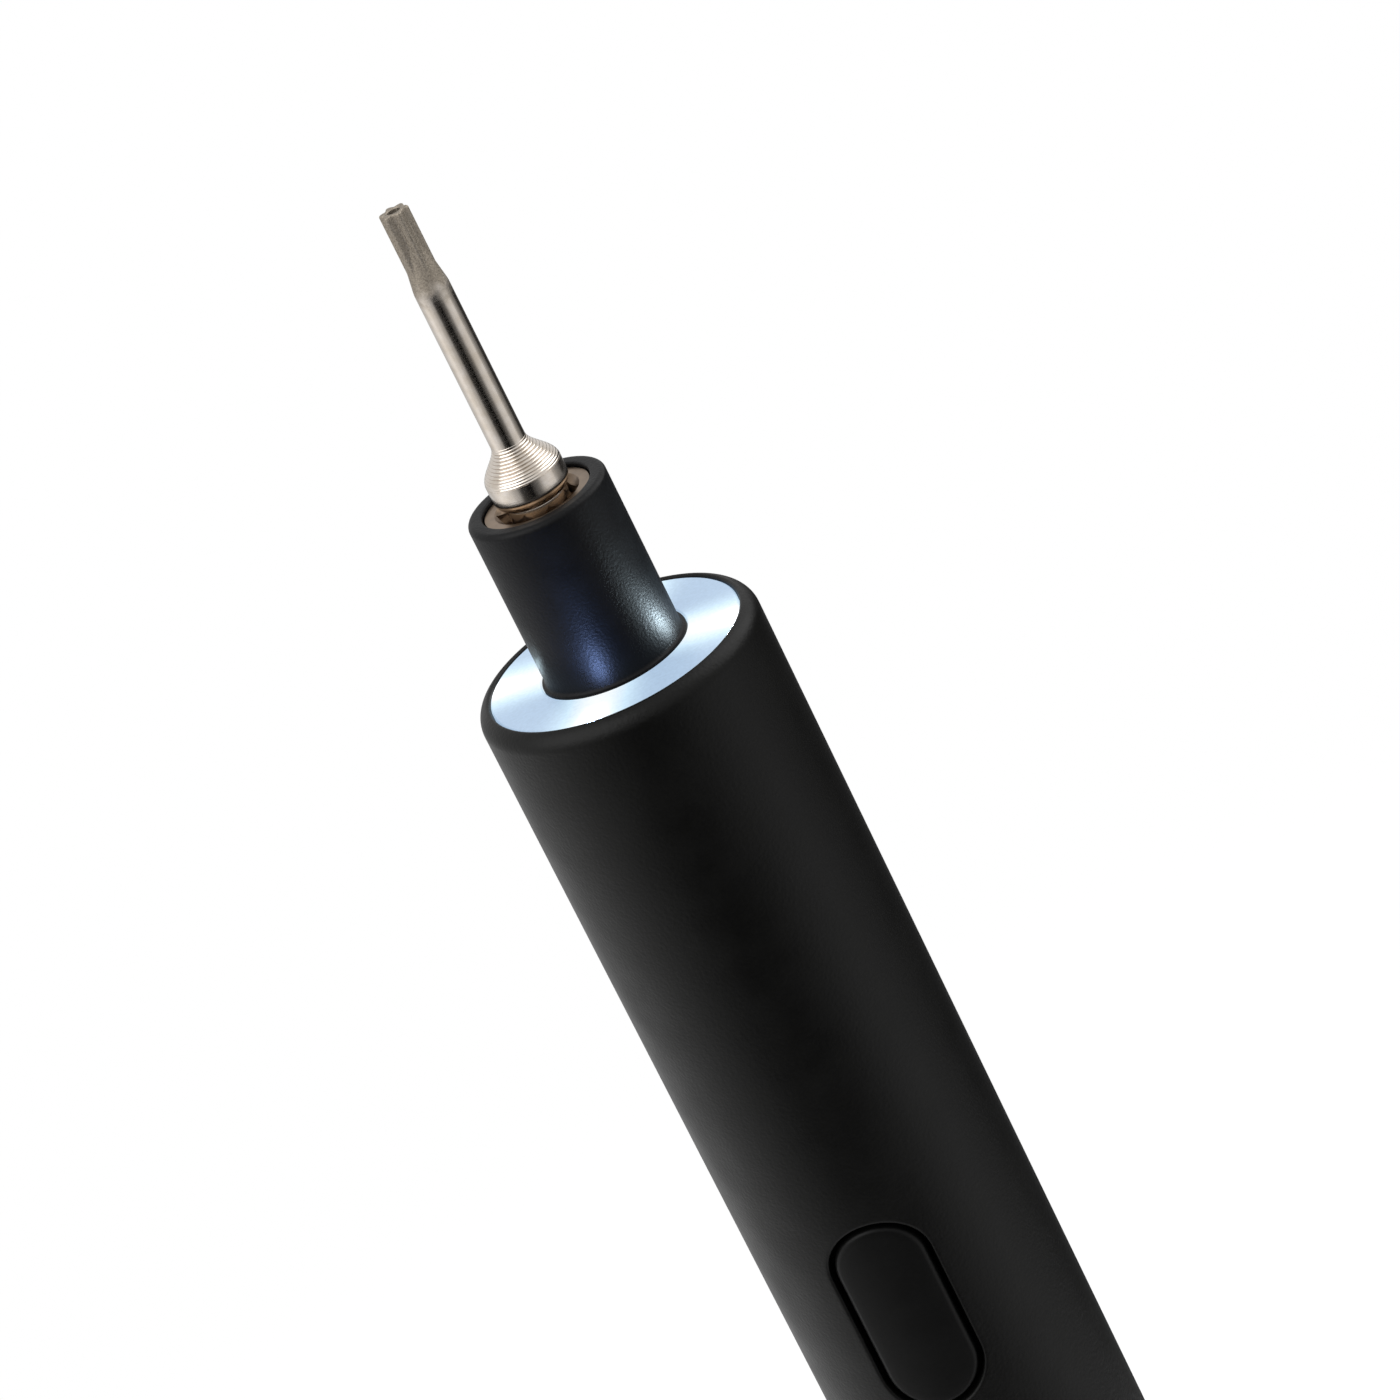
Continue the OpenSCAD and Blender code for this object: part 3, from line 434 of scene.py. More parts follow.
def round_slot(half_straight, distance, point):
    """Point at a distance from the slot's middle line, straight out through another point."""
    foot = Vector((0, max(-half_straight, min(half_straight, point[1]))))
    out = (Vector(point) - foot).normalized()
    return foot + out * distance


# ---------------------------------------------------------------- tube with its slot


def tube_profile(sizes):
    """Rows of the tube's wall: up the bore, over the rounded rim and down the outside."""
    centre = (TUBE_R - sizes.rim_round, RIM_Z - sizes.rim_round)
    lip = math.degrees(math.acos((sizes.mouth + 0.16 * MM - centre[0]) / sizes.rim_round))
    inner = [
        (sizes.mouth, FLANGE_Z),
        (sizes.mouth, RIM_Z - 0.24 * MM),
        (sizes.mouth + 0.03 * MM, RIM_Z - 0.15 * MM),
        (sizes.mouth + 0.09 * MM, RIM_Z - 0.095 * MM),
    ]
    rim = arc(centre, sizes.rim_round, lip, 0, 14)
    tail = [(TUBE_R, TUBE_BACK_Z + sizes.seam), (TUBE_R - sizes.seam, TUBE_BACK_Z)]
    return inner, rim, tail


def build_tube(sizes, slot, material):
    half_w = slot.slot_width / 2
    straight = (slot.slot_length - slot.slot_width) / 2
    wide, tall = half_w + 1.6 * MM, slot.slot_length / 2 + 1.6 * MM
    across, along, rest = 24, 42, 112
    inner, rim, tail = tube_profile(sizes)
    panel_z = [BUTTON_Z - tall + 2 * tall * i / along for i in range(along + 1)]
    rows = [(sizes.bore, TUBE_BACK_Z)] + [(sizes.bore, z) for z in panel_z]
    rows += [(sizes.bore, FLANGE_Z)] + inner + rim
    outer_start = len(rows)
    rows += [(TUBE_R, z) for z in reversed(panel_z)] + tail
    columns = across + rest

    def spot(r, j):
        edge = math.asin(wide / r)
        if j <= across:
            x = -wide + 2 * wide * j / across
            return x, -math.sqrt(r * r - x * x)
        a = edge + (math.tau - 2 * edge) * (j - across) / rest - math.pi / 2
        return r * math.cos(a), r * math.sin(a)

    points = [(*spot(r, j), z) for r, z in rows for j in range(columns)]
    blocks = [range(1, 1 + along), range(outer_start, outer_start + along)]
    faces = []
    for index, face in enumerate(ring_faces(len(rows), columns, True)):
        i, j = divmod(index, columns)
        if j < across and any(i in block for block in blocks):
            continue
        faces.append(face)

    # Frame of the rectangle that the slot's own loops fill
    edge = [(-wide + 2 * wide * i / across, -tall) for i in range(across)]
    edge += [(wide, -tall + 2 * tall * i / along) for i in range(along)]
    edge += [(wide - 2 * wide * i / across, tall) for i in range(across)]
    edge += [(-wide, tall - 2 * tall * i / along) for i in range(along)]
    count = len(edge)

    def loop(distance, r, share=0.0):
        made = []
        for p in edge:
            q = round_slot(straight, distance, p).lerp(Vector(p), share)
            made.append((q.x, -math.sqrt(r * r - q.x * q.x), q.y + BUTTON_Z))
        return made

    f = slot.edge_round
    loops = [loop(half_w + f + 0.12 * MM, TUBE_R, s) for s in (1, 0.66, 0.33, 0)]
    for a in range(0, 91, 15):
        s, c = math.sin(math.radians(a)), math.cos(math.radians(a))
        loops.append(loop(half_w + f * (1 - s), TUBE_R - f * (1 - c)))
    loops.append(loop(half_w, sizes.bore + 0.08 * MM))
    loops.append(loop(half_w + 0.08 * MM, sizes.bore))
    loops += [loop(half_w + 0.2 * MM, sizes.bore, s) for s in (0, 0.5, 1)]
    start = len(points)
    for made in loops:
        points += made
    faces += [tuple(start + k for k in face) for face in ring_faces(len(loops), count, False)]
    return new_piece("tube_shell", points, faces, material, crease=40)


def build_rocker(slot, material):
    """Rocker: a rounded cap that follows the tube, on a wider flange, with two feet and a hub."""
    half_w = slot.slot_width / 2 - slot.clearance
    straight = (slot.slot_length - slot.slot_width) / 2
    skin = TUBE_R - ROCKER_DROP
    f = slot.cap_round
    arc_steps, side_steps = 20, 14
    directions = []
    for end in (1, -1):
        for i in range(arc_steps):
            a = math.pi * i / arc_steps + (0 if end > 0 else math.pi)
            directions.append((math.cos(a), math.sin(a), end * straight))
        for i in range(side_steps):
            directions.append((-end, 0, end * straight * (1 - 2 * i / side_steps)))
    levels = [(half_w * s, skin) for s in (0, 0.2, 0.4, 0.6, 0.75)]
    for a in range(90, -1, -15):
        s, c = math.sin(math.radians(a)), math.cos(math.radians(a))
        levels.append((half_w - f * (1 - c), skin - f * (1 - s)))
    flange = half_w + ROCKER_FLANGE_OVER
    levels += [(half_w, ROCKER_FLANGE_R + 0.05 * MM), (flange, ROCKER_FLANGE_R)]
    points = []
    for distance, r in levels:
        for dx, dz, foot in directions:
            x = dx * distance
            points.append((x, -math.sqrt(r * r - x * x), BUTTON_Z + foot + dz * distance))
    for distance in (flange, 0):
        for dx, dz, foot in directions:
            points.append((dx * distance, ROCKER_FLOOR_Y, BUTTON_Z + foot + dz * distance))
    faces = ring_faces(len(levels) + 2, len(directions), False)
    hub = Vector((-half_w * 0.9, PIN_Y, BUTTON_Z))
    add_rod(points, faces, hub, Vector((1, 0, 0)), half_w * 1.8, BUTTON_HIGH.y - PIN_Y)
    foot_l = PLUNGER_LOW.y - slot.foot_clearance - FOOT_TOP_Y
    for end in (-1, 1):
        foot = Vector((0, FOOT_TOP_Y, BUTTON_Z + end * SWITCH_PITCH))
        add_rod(points, faces, foot, Vector((0, 1, 0)), foot_l, FOOT_R)
    return new_piece("rocker_cap", points, faces, material, crease=40)


def add_rod(points, faces, start, axis, reach, radius, steps=24):
    """Adds a closed round rod to a list of points and faces."""
    side = axis.orthogonal().normalized()
    other = axis.cross(side)
    base = len(points)
    bevel = radius * 0.12
    ends = [(0, 0), (radius - bevel, 0), (radius, bevel)]
    ends += [(r, reach - t) for r, t in reversed(ends)]
    for r, t in ends:
        for j in range(steps):
            a = math.tau * j / steps
            points.append(start + axis * t + (side * math.cos(a) + other * math.sin(a)) * r)
    faces += [tuple(base + k for k in face) for face in ring_faces(len(ends), steps, False)]


# ---------------------------------------------------------------- nose


def build_sleeve(sizes, material):
    lip, root = sizes.lip_round, sizes.root
    foot = sizes.outer + root
    profile = [(sizes.inner, BUSH_Z), (sizes.inner, SLEEVE_Z - 0.12 * MM)]
    profile += arc((sizes.inner + 0.12 * MM, SLEEVE_Z - 0.12 * MM), 0.12 * MM, 165, 90, 5)
    profile += arc((sizes.outer - lip, SLEEVE_Z - lip), lip, 90, 0, 12)
    profile += [(sizes.outer, RING_Z + root + 0.4 * MM)]
    profile += arc((foot, RING_Z + root), root, 180, 265, 10)
    profile += [(foot, RING_Z - 0.06 * MM), (foot, RING_Z - BAND_DEPTH), (BAND_R, RING_Z - BAND_DEPTH)]
    profile += [(BAND_R, FLANGE_Z), (FLANGE_BORE_R, FLANGE_Z), (FLANGE_BORE_R, BUSH_Z)]
    return turned("sleeve_turned", profile, material)


def build_ring(sizes, material):
    chamfer = 0.08 * MM
    low = RING_Z - sizes.thickness
    profile = [
        (sizes.inner, low), (sizes.inner, RING_Z - chamfer), (sizes.inner + chamfer, RING_Z),
        (sizes.inner + (sizes.outer - sizes.inner) * 0.5, RING_Z),
        (sizes.outer - chamfer, RING_Z), (sizes.outer, RING_Z - chamfer),
        (sizes.outer, low - SKIRT_L), (sizes.outer - SKIRT_WALL, low - SKIRT_L),
        (sizes.outer - SKIRT_WALL, low),
    ]
    return turned("ring_diffuser", profile, material)


# ---------------------------------------------------------------- bit


def hexagon_radius(flats, corner, angle):
    turn = math.radians(60)
    a = (angle + turn / 2) % turn - turn / 2
    return min(flats / 2 / math.cos(a), corner)


def lobe_radius(sizes, angle):
    mean, wave = (sizes.lobe + sizes.valley) / 2, (sizes.lobe - sizes.valley) / 2
    return mean + wave * math.cos(6 * angle)


def star_on_cone(star, cone):
    """Radius where the tip's lobes run out into the neck's cone, with the crossing eased."""
    if abs(star - cone) > 0.03 * MM:
        return max(star, cone)
    return (star + cone) / 2 + 0.0075 * MM


def row_of_points(radius, z, steps):
    """Points round the axis at one height; the radius may depend on the angle."""
    row = []
    for j in range(steps):
        angle = math.tau * j / steps
        r = radius(angle) if callable(radius) else radius
        row.append((r * math.cos(angle), r * math.sin(angle), z))
    return row


def build_bit(sizes, material):
    """Tip with six lobes and a hole, round shank, round collar, and hexagon with turned corners."""
    steps, neck_rows = 144, 28
    star_end, neck_end = TIP_Z - STAR_L, TIP_Z - NECK_L
    hole_edge = sizes.hole + 0.05 * MM
    rows = [(0, TIP_Z - HOLE_DEPTH), (sizes.hole, TIP_Z - HOLE_DEPTH)]
    rows += [(sizes.hole, TIP_Z - 0.06 * MM), (hole_edge, TIP_Z)]
    for inset, drop in ((0.07, 0), (0.035, 0.02), (0.012, 0.05), (0, 0.09)):
        rows.append((lambda a, inset=inset: lobe_radius(sizes, a) - inset * MM, TIP_Z - drop * MM))
    top, bottom = TIP_Z - 0.09 * MM, neck_end - 0.4 * MM
    for i in range(1, neck_rows + 1):
        z = top + (bottom - top) * i / neck_rows
        share = min(1, max(0, (star_end - z) / (star_end - neck_end)))
        cone = sizes.valley + (sizes.shank - sizes.valley) * share
        rows.append((lambda a, cone=cone: star_on_cone(lobe_radius(sizes, a), cone), z))
    rows += [(sizes.shank, SHOULDER_FRONT_Z + 0.5 * MM), (sizes.shank, SHOULDER_FRONT_Z - 0.1 * MM)]
    rows += [(sizes.shank * 0.98, SHOULDER_BACK_Z + 0.2 * MM)]
    collar, belly = sizes.hexagon / 2 + COLLAR_OVER, 0.75 * MM
    rows += [(collar - 0.15 * MM, SHOULDER_BACK_Z), (collar, SHOULDER_BACK_Z)]
    rows += arc((collar - belly, SOCKET_Z + 0.15 * MM + belly), belly, 0, -65, 10)
    relief, chamfer, blunt = 1.7 * MM, 0.25 * MM, 1.95 * MM
    hexagon_rows = (
        (relief, rows[-1][1] - 0.05 * MM), (relief, SOCKET_Z - 0.7 * MM),
        (sizes.corner, SOCKET_Z - 1.0 * MM), (sizes.corner, BIT_REAR_Z + chamfer),
        (blunt, BIT_REAR_Z), (0, BIT_REAR_Z),
    )
    for limit, z in hexagon_rows:
        rows.append((lambda a, limit=limit: min(hexagon_radius(sizes.hexagon, sizes.corner, a), limit), z))
    points = [point for radius, z in rows for point in row_of_points(radius, z, steps)]
    return new_piece("bit_blank", points, ring_faces(len(rows), steps, False), material, crease=28)


def ringed_shoulder_tree(material):
    """Flared shoulder with fine turned rings: a grid bent round the axis by rule."""
    tree = bpy.data.node_groups.new("ringed_shoulder", "GeometryNodeTree")
    sockets = tree.interface
    sockets.new_socket("Geometry", in_out="OUTPUT", socket_type="NodeSocketGeometry")
    for name in ("Front Height", "Back Height", "Front Radius", "Back Radius", "Groove Depth"):
        sockets.new_socket(name, in_out="INPUT", socket_type="NodeSocketFloat")
    for name in ("Rings", "Segments"):
        sockets.new_socket(name, in_out="INPUT", socket_type="NodeSocketInt")
    size = put(tree, "NodeGroupInput").outputs
    samples = 6.0
    rows = sum_of(tree, "MULTIPLY_ADD", size["Rings"], samples, 3.0)
    columns = sum_of(tree, "ADD", size["Segments"], 1.0)
    last_row = sum_of(tree, "SUBTRACT", rows, 1.0)
    grid = put(tree, "GeometryNodeMeshGrid", {
        "Size X": 1.0, "Size Y": 1.0, "Vertices X": columns, "Vertices Y": rows,
    })
    position = put(tree, "GeometryNodeInputPosition").outputs[0]
    here = put(tree, "ShaderNodeSeparateXYZ", {"Vector": position})
    turn = sum_of(tree, "MULTIPLY", sum_of(tree, "ADD", here.outputs["X"], 0.5), math.tau)
    row = sum_of(tree, "MULTIPLY", sum_of(tree, "ADD", here.outputs["Y"], 0.5), last_row)
    row = sum_of(tree, "ROUND", row)
    steps = sum_of(tree, "MULTIPLY", size["Rings"], samples)
    t = sum_of(tree, "DIVIDE", sum_of(tree, "SUBTRACT", row, 1.0), steps, use_clamp=True)
    # Smooth flare from the hexagon (t = 0) to the shank (t = 1)
    squared = sum_of(tree, "MULTIPLY", t, t)
    ease = sum_of(tree, "MULTIPLY", squared, sum_of(tree, "MULTIPLY_ADD", t, -2.0, 3.0))
    narrowing = sum_of(tree, "SUBTRACT", size["Front Radius"], size["Back Radius"])
    flare = sum_of(tree, "MULTIPLY_ADD", ease, narrowing, size["Back Radius"])
    # Grooves, shallower towards the hexagon
    count = sum_of(tree, "MULTIPLY", t, size["Rings"])
    ripple = sum_of(tree, "COSINE", sum_of(tree, "MULTIPLY", count, math.tau))
    ripple = sum_of(tree, "MULTIPLY_ADD", ripple, 0.5, 0.5)
    ripple = sum_of(tree, "POWER", ripple, 3.0)
    ripple = sum_of(tree, "MULTIPLY", ripple, stretch_range(tree, t, 0.05, 0.4, 0.25, 1.0))
    grooved = sum_of(tree, "SUBTRACT", flare, sum_of(tree, "MULTIPLY", ripple, size["Groove Depth"]))
    inside = sum_of(tree, "MULTIPLY", sum_of(tree, "GREATER_THAN", row, 0.5),
                    sum_of(tree, "LESS_THAN", row, sum_of(tree, "SUBTRACT", rows, 1.5)))
    radius = sum_of(tree, "MULTIPLY", grooved, inside)
    rise = sum_of(tree, "SUBTRACT", size["Front Height"], size["Back Height"])
    height = sum_of(tree, "MULTIPLY_ADD", t, rise, size["Back Height"])
    bent = put(tree, "ShaderNodeCombineXYZ", {
        "X": sum_of(tree, "MULTIPLY", radius, sum_of(tree, "COSINE", turn)),
        "Y": sum_of(tree, "MULTIPLY", radius, sum_of(tree, "SINE", turn)),
        "Z": height,
    })
    moved = put(tree, "GeometryNodeSetPosition", {
        "Geometry": grid.outputs["Mesh"], "Position": bent.outputs[0],
    })
    merged = put(tree, "GeometryNodeMergeByDistance", {
        "Geometry": moved.outputs[0], "Distance": 0.0005 * MM,
    })
    real = put(tree, "GeometryNodeRealizeInstances", {"Geometry": merged.outputs[0]})
    painted = put(tree, "GeometryNodeSetMaterial", {"Geometry": real.outputs[0], "Material": material})
    put(tree, "NodeGroupOutput", {"Geometry": painted.outputs[0]})
    return tree


def grown(name, tree, sizes, material, crease=32):
    """Plain mesh of what a node tree makes from named sizes."""
    host = bpy.data.objects.new(name + "_host", bpy.data.meshes.new(name + "_host"))
    bpy.context.scene.collection.objects.link(host)
    modifier = host.modifiers.new("Make", "NODES")
    modifier.node_group = tree
    for item in tree.interface.items_tree:
        if item.item_type == "SOCKET" and item.in_out == "INPUT":
            modifier[item.identifier] = sizes[item.name]
    bpy.context.view_layer.update()
    data = bpy.data.meshes.new_from_object(host.evaluated_get(bpy.context.evaluated_depsgraph_get()))
    data.name = name
    host.modifiers.remove(modifier)
    bpy.data.objects.remove(host)
    piece = bpy.data.objects.new(name, data)
    bpy.context.scene.collection.objects.link(piece)
    return finish_mesh(piece, material, crease)


# ---------------------------------------------------------------- operators


def stand_for(piece, body, slot, *nodes):
    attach(piece, body)
    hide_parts(*nodes)


class DRIVER_OT_tube(bpy.types.Operator):
    """Makes the tube with its rounded rim and slot, and finishes the tail"""

    bl_idname = "driver.tube"
    bl_label = "Tube"

    def execute(self, context):
        scene = context.scene
        skin = blasted_anodising(scene.driver_tube.colour)
        tube = build_tube(scene.driver_tube, scene.driver_slot, skin)
        stand_for(tube, "housing", "black_anodised", "body_tube")
        dress("end_cap", skin)
        return {"FINISHED"}


class DRIVER_OT_rocker(bpy.types.Operator):
    """Makes the rocker in the tube's slot"""

    bl_idname = "driver.rocker"
    bl_label = "Rocker"

    def execute(self, context):
        slot = context.scene.driver_slot
        piece = build_rocker(slot, moulded_rocker(slot.colour))
        stand_for(piece, "rocker", "button_black", "rocker_button")
        return {"FINISHED"}


class DRIVER_OT_nose(bpy.types.Operator):
    """Makes the nose sleeve"""

    bl_idname = "driver.nose"
    bl_label = "Nose sleeve"

    def execute(self, context):
        nose = context.scene.driver_nose
        piece = build_sleeve(nose, satin_anodising(nose.colour))
        stand_for(piece, "housing", "sleeve_black", "nose_sleeve")
        return {"FINISHED"}


class DRIVER_OT_ring(bpy.types.Operator):
    """Makes the lit ring round the nose"""

    bl_idname = "driver.ring"
    bl_label = "Light ring"

    def execute(self, context):
        ring = context.scene.driver_ring
        piece = build_ring(ring, lit_diffuser(ring))
        stand_for(piece, "housing", "frosted_light", "light_ring")
        add_led_lamps(ring)
        return {"FINISHED"}


# Colour and share of each LED, of which the first is the bluest and the last the weakest
LED_LIGHT = ((0.17, 0.26, 0.55), (0.56, 0.7, 0.78), (0.3, 0.37, 0.42), (0.03, 0.04, 0.045))


def add_led_lamps(ring):
    """Small lamps on the ring, one over each LED, that throw its light up the sleeve."""
    for index in range(ring.lamps):
        angle = ring.turn + math.tau * index / ring.lamps
        at = (ring.orbit * math.cos(angle), ring.orbit * math.sin(angle), RING_Z + 0.02 * MM)
        lamp = area_lamp("led_lamp", at, (0.9 * MM, 0.9 * MM), ring.power, (at[0], at[1], at[2] + 1))
        lamp.data.shape = "DISK"
        lamp.data.color = LED_LIGHT[index % len(LED_LIGHT)]
        lamp.visible_camera = False


class DRIVER_OT_bit(bpy.types.Operator):
    """Makes the bit: tip, shank, ringed shoulder and hexagon"""

    bl_idname = "driver.bit"
    bl_label = "Bit"

    def execute(self, context):
        sizes = context.scene.driver_bit
        plate = plated_bit(sizes.colour)
        blank = build_bit(sizes, plate)
        stand_for(blank, "bit", "nickel_steel", "bit")
        shoulder = grown("bit_shoulder", ringed_shoulder_tree(plate), {
            "Front Height": SHOULDER_FRONT_Z, "Back Height": SHOULDER_BACK_Z - 0.02 * MM,
            "Front Radius": sizes.shank + 0.005 * MM, "Back Radius": sizes.hexagon / 2 + COLLAR_OVER,
            "Groove Depth": sizes.groove, "Rings": sizes.rings, "Segments": 160,
        }, plate, crease=60)
        stand_for(shoulder, "bit", "nickel_steel", "bit")
        return {"FINISHED"}


def dress(node, material):
    """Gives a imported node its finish."""
    data = frame["nodes"][node].data
    data.materials.clear()
    data.materials.append(material)


def circuit_mask():
    """Green solder mask over fine copper tracks."""
    made, tree, shader = surface("circuit_board", (0.02, 0.12, 0.05), 0.35, coat=0.3)
    where = place(tree)
    tracks = put(tree, "ShaderNodeTexBrick", {
        "Vector": where, "Scale": 420.0, "Mortar Size": 0.06, "Color1": (0.015, 0.10, 0.04, 1),
        "Color2": (0.02, 0.13, 0.055, 1), "Mortar": (0.05, 0.22, 0.08, 1),
    })
    tree.links.new(tracks.outputs["Color"], shader.inputs["Base Color"])
    rough = stretch_range(tree, grain(tree, where, 0.4 * MM), 0.3, 0.7, 0.28, 0.42)
    tree.links.new(rough, shader.inputs["Roughness"])
    bump = put(tree, "ShaderNodeBump", {
        "Height": tracks.outputs["Fac"], "Strength": 0.4, "Distance": 0.02 * MM,
    })
    tree.links.new(bump.outputs[0], shader.inputs["Normal"])
    return made


INNER_FINISHES = {
    # slot: (colour, roughness, grain in mm, depth in mm, metallic, stretch)
    # nickel_steel here is the spindle: dark warm brown, darker than nickel. Partly its own brown-grey tone,
    # partly painted shade of its place deep in the socket
    "nickel_steel": ((0.19, 0.135, 0.09), 0.3, 0.08, 0.004, 1.0, (0.1, 0.1, 1)),
    "bearing_steel": ((0.62, 0.62, 0.63), 0.16, 0.05, 0.001, 1.0, (0.2, 0.2, 1)),
    "bronze": ((0.52, 0.34, 0.16), 0.38, 0.06, 0.006, 1.0, (1, 1, 1)),
    "gear_steel": ((0.42, 0.41, 0.39), 0.42, 0.07, 0.006, 1.0, (1, 1, 1)),
    "gear_plastic": ((0.78, 0.74, 0.66), 0.45, 0.2, 0.004, 0.0, (1, 1, 1)),
    "gear_brass": ((0.68, 0.46, 0.16), 0.25, 0.06, 0.003, 1.0, (0.2, 0.2, 1)),
    "machined_aluminium": ((0.62, 0.63, 0.65), 0.3, 0.07, 0.004, 1.0, (0.1, 0.1, 1)),
    "magnet": ((0.55, 0.55, 0.56), 0.2, 0.3, 0.002, 1.0, (1, 1, 1)),
    "ferrite": ((0.05, 0.05, 0.052), 0.6, 0.09, 0.01, 0.0, (1, 1, 1)),
    "motor_steel": ((0.56, 0.57, 0.59), 0.3, 0.09, 0.003, 1.0, (1, 1, 0.1)),
    "copper": ((0.60, 0.23, 0.08), 0.28, 0.12, 0.02, 1.0, (1, 1, 0.08)),
    "contact_metal": ((0.70, 0.52, 0.2), 0.26, 0.2, 0.002, 1.0, (1, 1, 1)),
    "cream_plastic": ((0.74, 0.73, 0.66), 0.5, 0.2, 0.006, 0.0, (1, 1, 1)),
    "dark_screw": ((0.07, 0.07, 0.075), 0.34, 0.08, 0.003, 1.0, (1, 1, 1)),
    "chassis_plastic": ((0.014, 0.014, 0.015), 0.55, 0.25, 0.01, 0.0, (1, 1, 1)),
    "chip_black": ((0.012, 0.012, 0.013), 0.6, 0.1, 0.006, 0.0, (1, 1, 1)),
    "led_phosphor": ((0.9, 0.82, 0.35), 0.3, 0.1, 0.004, 0.0, (1, 1, 1)),
    "switch_metal": ((0.72, 0.72, 0.74), 0.24, 0.1, 0.002, 1.0, (0.2, 1, 1)),
    "cell_wrap": ((0.02, 0.06, 0.22), 0.3, 0.5, 0.01, 0.0, (1, 1, 0.3)),
    "port_steel": ((0.58, 0.58, 0.6), 0.28, 0.08, 0.002, 1.0, (1, 1, 0.2)),
    "seal_rubber": ((0.012, 0.012, 0.012), 0.6, 0.15, 0.008, 0.0, (1, 1, 1)),
}


class DRIVER_OT_inside(bpy.types.Operator):
    """Finishes the nodes that stay as packed, most of them inside the tube"""

    bl_idname = "driver.inside"
    bl_label = "Inner pieces"

    def execute(self, context):
        slots = {s["node"]: s["material_slot"] for s in frame["record"]["subparts"]}
        made = {"circuit_board": circuit_mask()}
        dressed = {"body_tube", "end_cap", "rocker_button", "nose_sleeve", "light_ring", "bit"}
        for node, slot in slots.items():
            if node in dressed:
                continue
            if slot not in made:
                colour, roughness, size, depth, metallic, stretch = INNER_FINISHES[slot]
                made[slot] = worked(slot, colour, roughness, size * MM, depth * MM,
                                    metallic=metallic, stretch=stretch)
            dress(node, made[slot])
        return {"FINISHED"}


# ---------------------------------------------------------------- stage

VIEW_FROM = Vector((0.0603, -0.2473, RING_Z + 0.1098))
VIEW_RIGHT = Vector((0.9146, 0.0256, -0.4036))
VIEW_UP = Vector((0.3481, 0.4580, 0.8180))
VIEW_BACK = Vector((0.2058, -0.8886, 0.4099))


def seen_through(tree):
    """One for rays from the camera, off a mirror or through glass, and nothing for the rest."""
    path = put(tree, "ShaderNodeLightPath").outputs
    either = sum_of(tree, "MAXIMUM", path["Is Camera Ray"], path["Is Glossy Ray"])
    return sum_of(tree, "MAXIMUM", either, path["Is Transmission Ray"])


def floor_paint():
    """Pale floor that keeps the shadow near the tool and runs out into white."""
    made = bpy.data.materials.new("floor_paint")
    made.use_nodes = True
    tree = made.node_tree
    tree.nodes.remove(tree.nodes["Principled BSDF"])
    where = place(tree)
    away = put(tree, "ShaderNodeVectorMath", {0: where}, operation="LENGTH").outputs["Value"]
    fade = put(tree, "ShaderNodeMapRange", {"Value": away, "From Min": 0.05, "From Max": 0.22},
               interpolation_type="SMOOTHSTEP").outputs[0]
    matt = put(tree, "ShaderNodeBsdfDiffuse", {"Color": (0.84, 0.84, 0.84, 1)})
    white = put(tree, "ShaderNodeEmission", {"Color": (1, 1, 1, 1), "Strength": 1.0})
    share = sum_of(tree, "MULTIPLY", fade, seen_through(tree))
    both = put(tree, "ShaderNodeMixShader", {0: share, 1: matt.outputs[0], 2: white.outputs[0]})
    tree.links.new(both.outputs[0], tree.nodes["Material Output"].inputs["Surface"])
    return made


def lit_card(name, stops):
    """Card that only reflections see, its brightness given round the axis in degrees."""
    made = bpy.data.materials.new(name)
    made.use_nodes = True
    tree = made.node_tree
    tree.nodes.remove(tree.nodes["Principled BSDF"])
    axis = put(tree, "ShaderNodeSeparateXYZ", {"Vector": place(tree)})
    around = sum_of(tree, "ARCTAN2", axis.outputs["Y"], axis.outputs["X"])
    share = sum_of(tree, "FRACT", sum_of(tree, "MULTIPLY_ADD", around, 1 / math.tau, 1.0))
    ramp = put(tree, "ShaderNodeValToRGB", {"Fac": share})
    ramp.color_ramp.interpolation = "EASE"
    elements = ramp.color_ramp.elements
    for index, (angle, value) in enumerate(stops):
        element = elements[index] if index < 2 else elements.new(angle / 360)
        element.position = angle / 360
        element.color = (value / CARD_GAIN, value / CARD_GAIN, value / CARD_GAIN, 1)
    dimmer = stretch_range(tree, axis.outputs["Z"], *CARD_FADE_Z, CARD_GAIN, CARD_GAIN_HIGH)
    glow = put(tree, "ShaderNodeEmission", {"Color": ramp.outputs[0], "Strength": dimmer})
    tree.links.new(glow.outputs[0], tree.nodes["Material Output"].inputs["Surface"])
    return made


def area_lamp(name, place_at, size, power, aim):
    data = bpy.data.lights.new(name, "AREA")
    data.shape = "RECTANGLE"
    data.size, data.size_y = size
    data.energy = power
    lamp = bpy.data.objects.new(name, data)
    bpy.context.scene.collection.objects.link(lamp)
    lamp.location = place_at
    lamp.rotation_euler = (Vector(aim) - Vector(place_at)).to_track_quat("-Z", "Y").to_euler()
    return lamp


def add_camera(lens):
    data = bpy.data.cameras.new("camera")
    data.lens = lens
    data.sensor_width = 36
    data.clip_start, data.clip_end = 0.01, 20
    camera = bpy.data.objects.new("camera", data)
    bpy.context.scene.collection.objects.link(camera)
    turn = Matrix((VIEW_RIGHT, VIEW_UP, VIEW_BACK)).transposed()
    camera.matrix_world = Matrix.Translation(VIEW_FROM) @ turn.to_4x4()
    bpy.context.scene.camera = camera


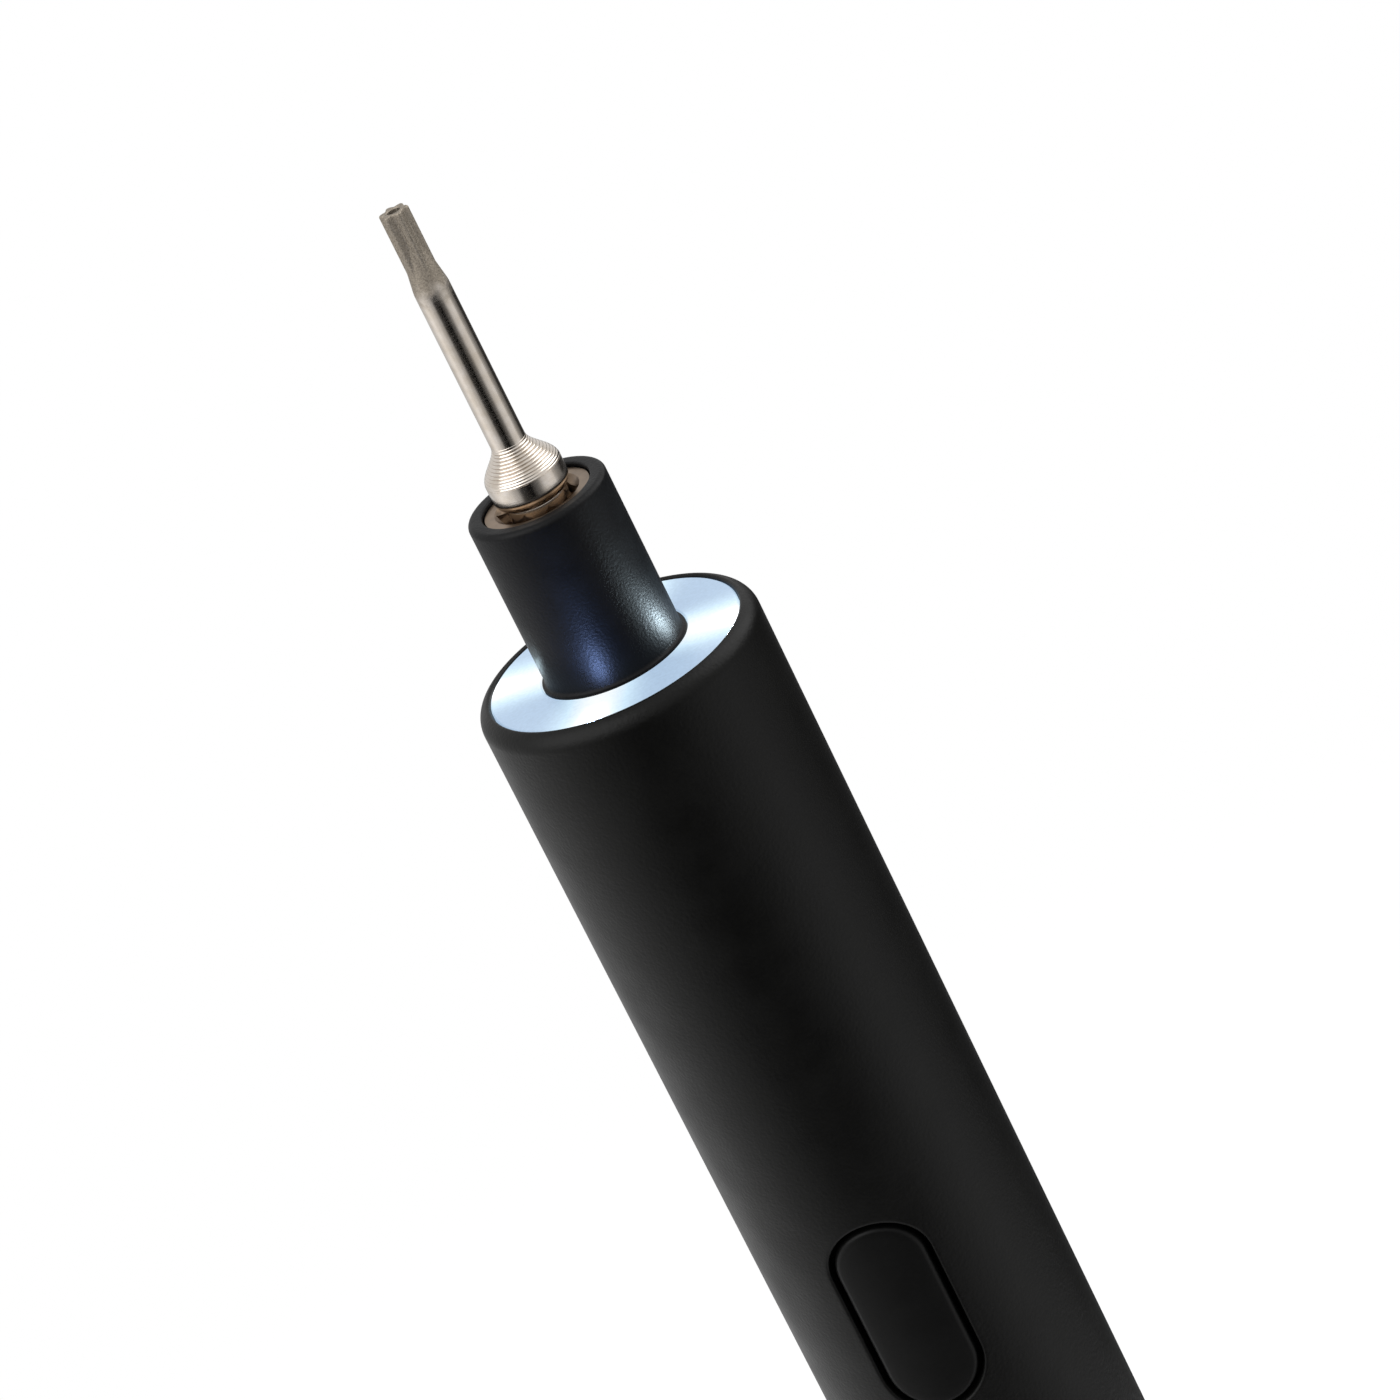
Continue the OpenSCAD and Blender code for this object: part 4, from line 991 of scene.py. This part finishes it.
CARD_R = 0.11
CARD_Z = (0.001, 0.14)
CARD_FADE_Z = (0.08, 0.1)
CARD_GAIN, CARD_GAIN_HIGH = 4.0, 2.9
FLOOR_DROP = 0.02 * MM
CARD_STOPS = (
    # angle about the axis in degrees, brightness
    (0, 0.85), (22, 0.4), (45, 0.04), (75, 0.08), (100, 0.6), (145, 1.1), (190, 1.8), (215, 1.4),
    (238, 0.8), (256, 0.06), (282, 0.0), (302, 0.2), (328, 1.15), (346, 1.35),
)


class DRIVER_OT_stage(bpy.types.Operator):
    """Sets the camera, the floor, the cards, the lamps and the surroundings"""

    bl_idname = "driver.stage"
    bl_label = "Stage"

    def execute(self, context):
        scene = context.scene
        look = scene.driver_stage
        add_camera(look.lens)
        floor_rows = [(0, 0), (0.05, 0), (0.3, 0), (look.floor, 0)]
        floor = turned("floor", floor_rows, floor_paint(), 96, closed=False)
        floor.location.z = -FLOOR_DROP
        card_rows = [(CARD_R, z) for z in CARD_Z]
        card = turned("card", card_rows, lit_card("card_light", CARD_STOPS), 96, closed=False)
        for ray in ("camera", "diffuse", "transmission", "volume_scatter", "shadow"):
            setattr(card, "visible_" + ray, False)
        area_lamp("key_lamp", (-0.5, -0.5, 0.75), (1.1, 1.1), look.key, (0, 0, 0.08))
        area_lamp("rim_lamp", (0.6, 0.25, 0.6), (0.8, 0.8), look.rim, (0, 0, 0.08))
        world = bpy.data.worlds.new("surroundings")
        scene.world = world
        world.use_nodes = True
        tree = world.node_tree
        fill = tree.nodes["Background"]
        fill.inputs["Color"].default_value = (1, 1, 1, 1)
        fill.inputs["Strength"].default_value = look.fill
        white = put(tree, "ShaderNodeBackground", {"Color": (1, 1, 1, 1), "Strength": 1.0})
        both = put(tree, "ShaderNodeMixShader", {
            0: seen_through(tree), 1: fill.outputs[0], 2: white.outputs[0],
        })
        tree.links.new(both.outputs[0], tree.nodes["World Output"].inputs["Surface"])
        scene.view_settings.view_transform = "Standard"
        return {"FINISHED"}


STEPS = (
    DRIVER_OT_stage, DRIVER_OT_tube, DRIVER_OT_rocker, DRIVER_OT_nose, DRIVER_OT_ring, DRIVER_OT_bit,
    DRIVER_OT_inside,
)


class DRIVER_PT_panel(bpy.types.Panel):
    """Lists the screwdriver's pieces and their sizes"""

    bl_label = "Torque Screwdriver"
    bl_idname = "DRIVER_PT_panel"
    bl_space_type = "VIEW_3D"
    bl_region_type = "UI"
    bl_category = "Screwdriver"

    def draw(self, context):
        for name, group in SETTINGS.items():
            box = self.layout.box()
            for key in group.__annotations__:
                box.prop(getattr(context.scene, name), key)
        for step in STEPS:
            self.layout.operator(step.bl_idname)


CLASSES = (*SETTINGS.values(), *STEPS, DRIVER_PT_panel)


def register():
    for item in CLASSES:
        bpy.utils.register_class(item)
    for name, group in SETTINGS.items():
        setattr(bpy.types.Scene, name, bpy.props.PointerProperty(type=group))


def unregister():
    for name in SETTINGS:
        delattr(bpy.types.Scene, name)
    for item in reversed(CLASSES):
        bpy.utils.unregister_class(item)


def main():
    register()
    for step in STEPS:
        family, name = step.bl_idname.split(".")
        getattr(getattr(bpy.ops, family), name)()


if __name__ == "__main__":
    main()
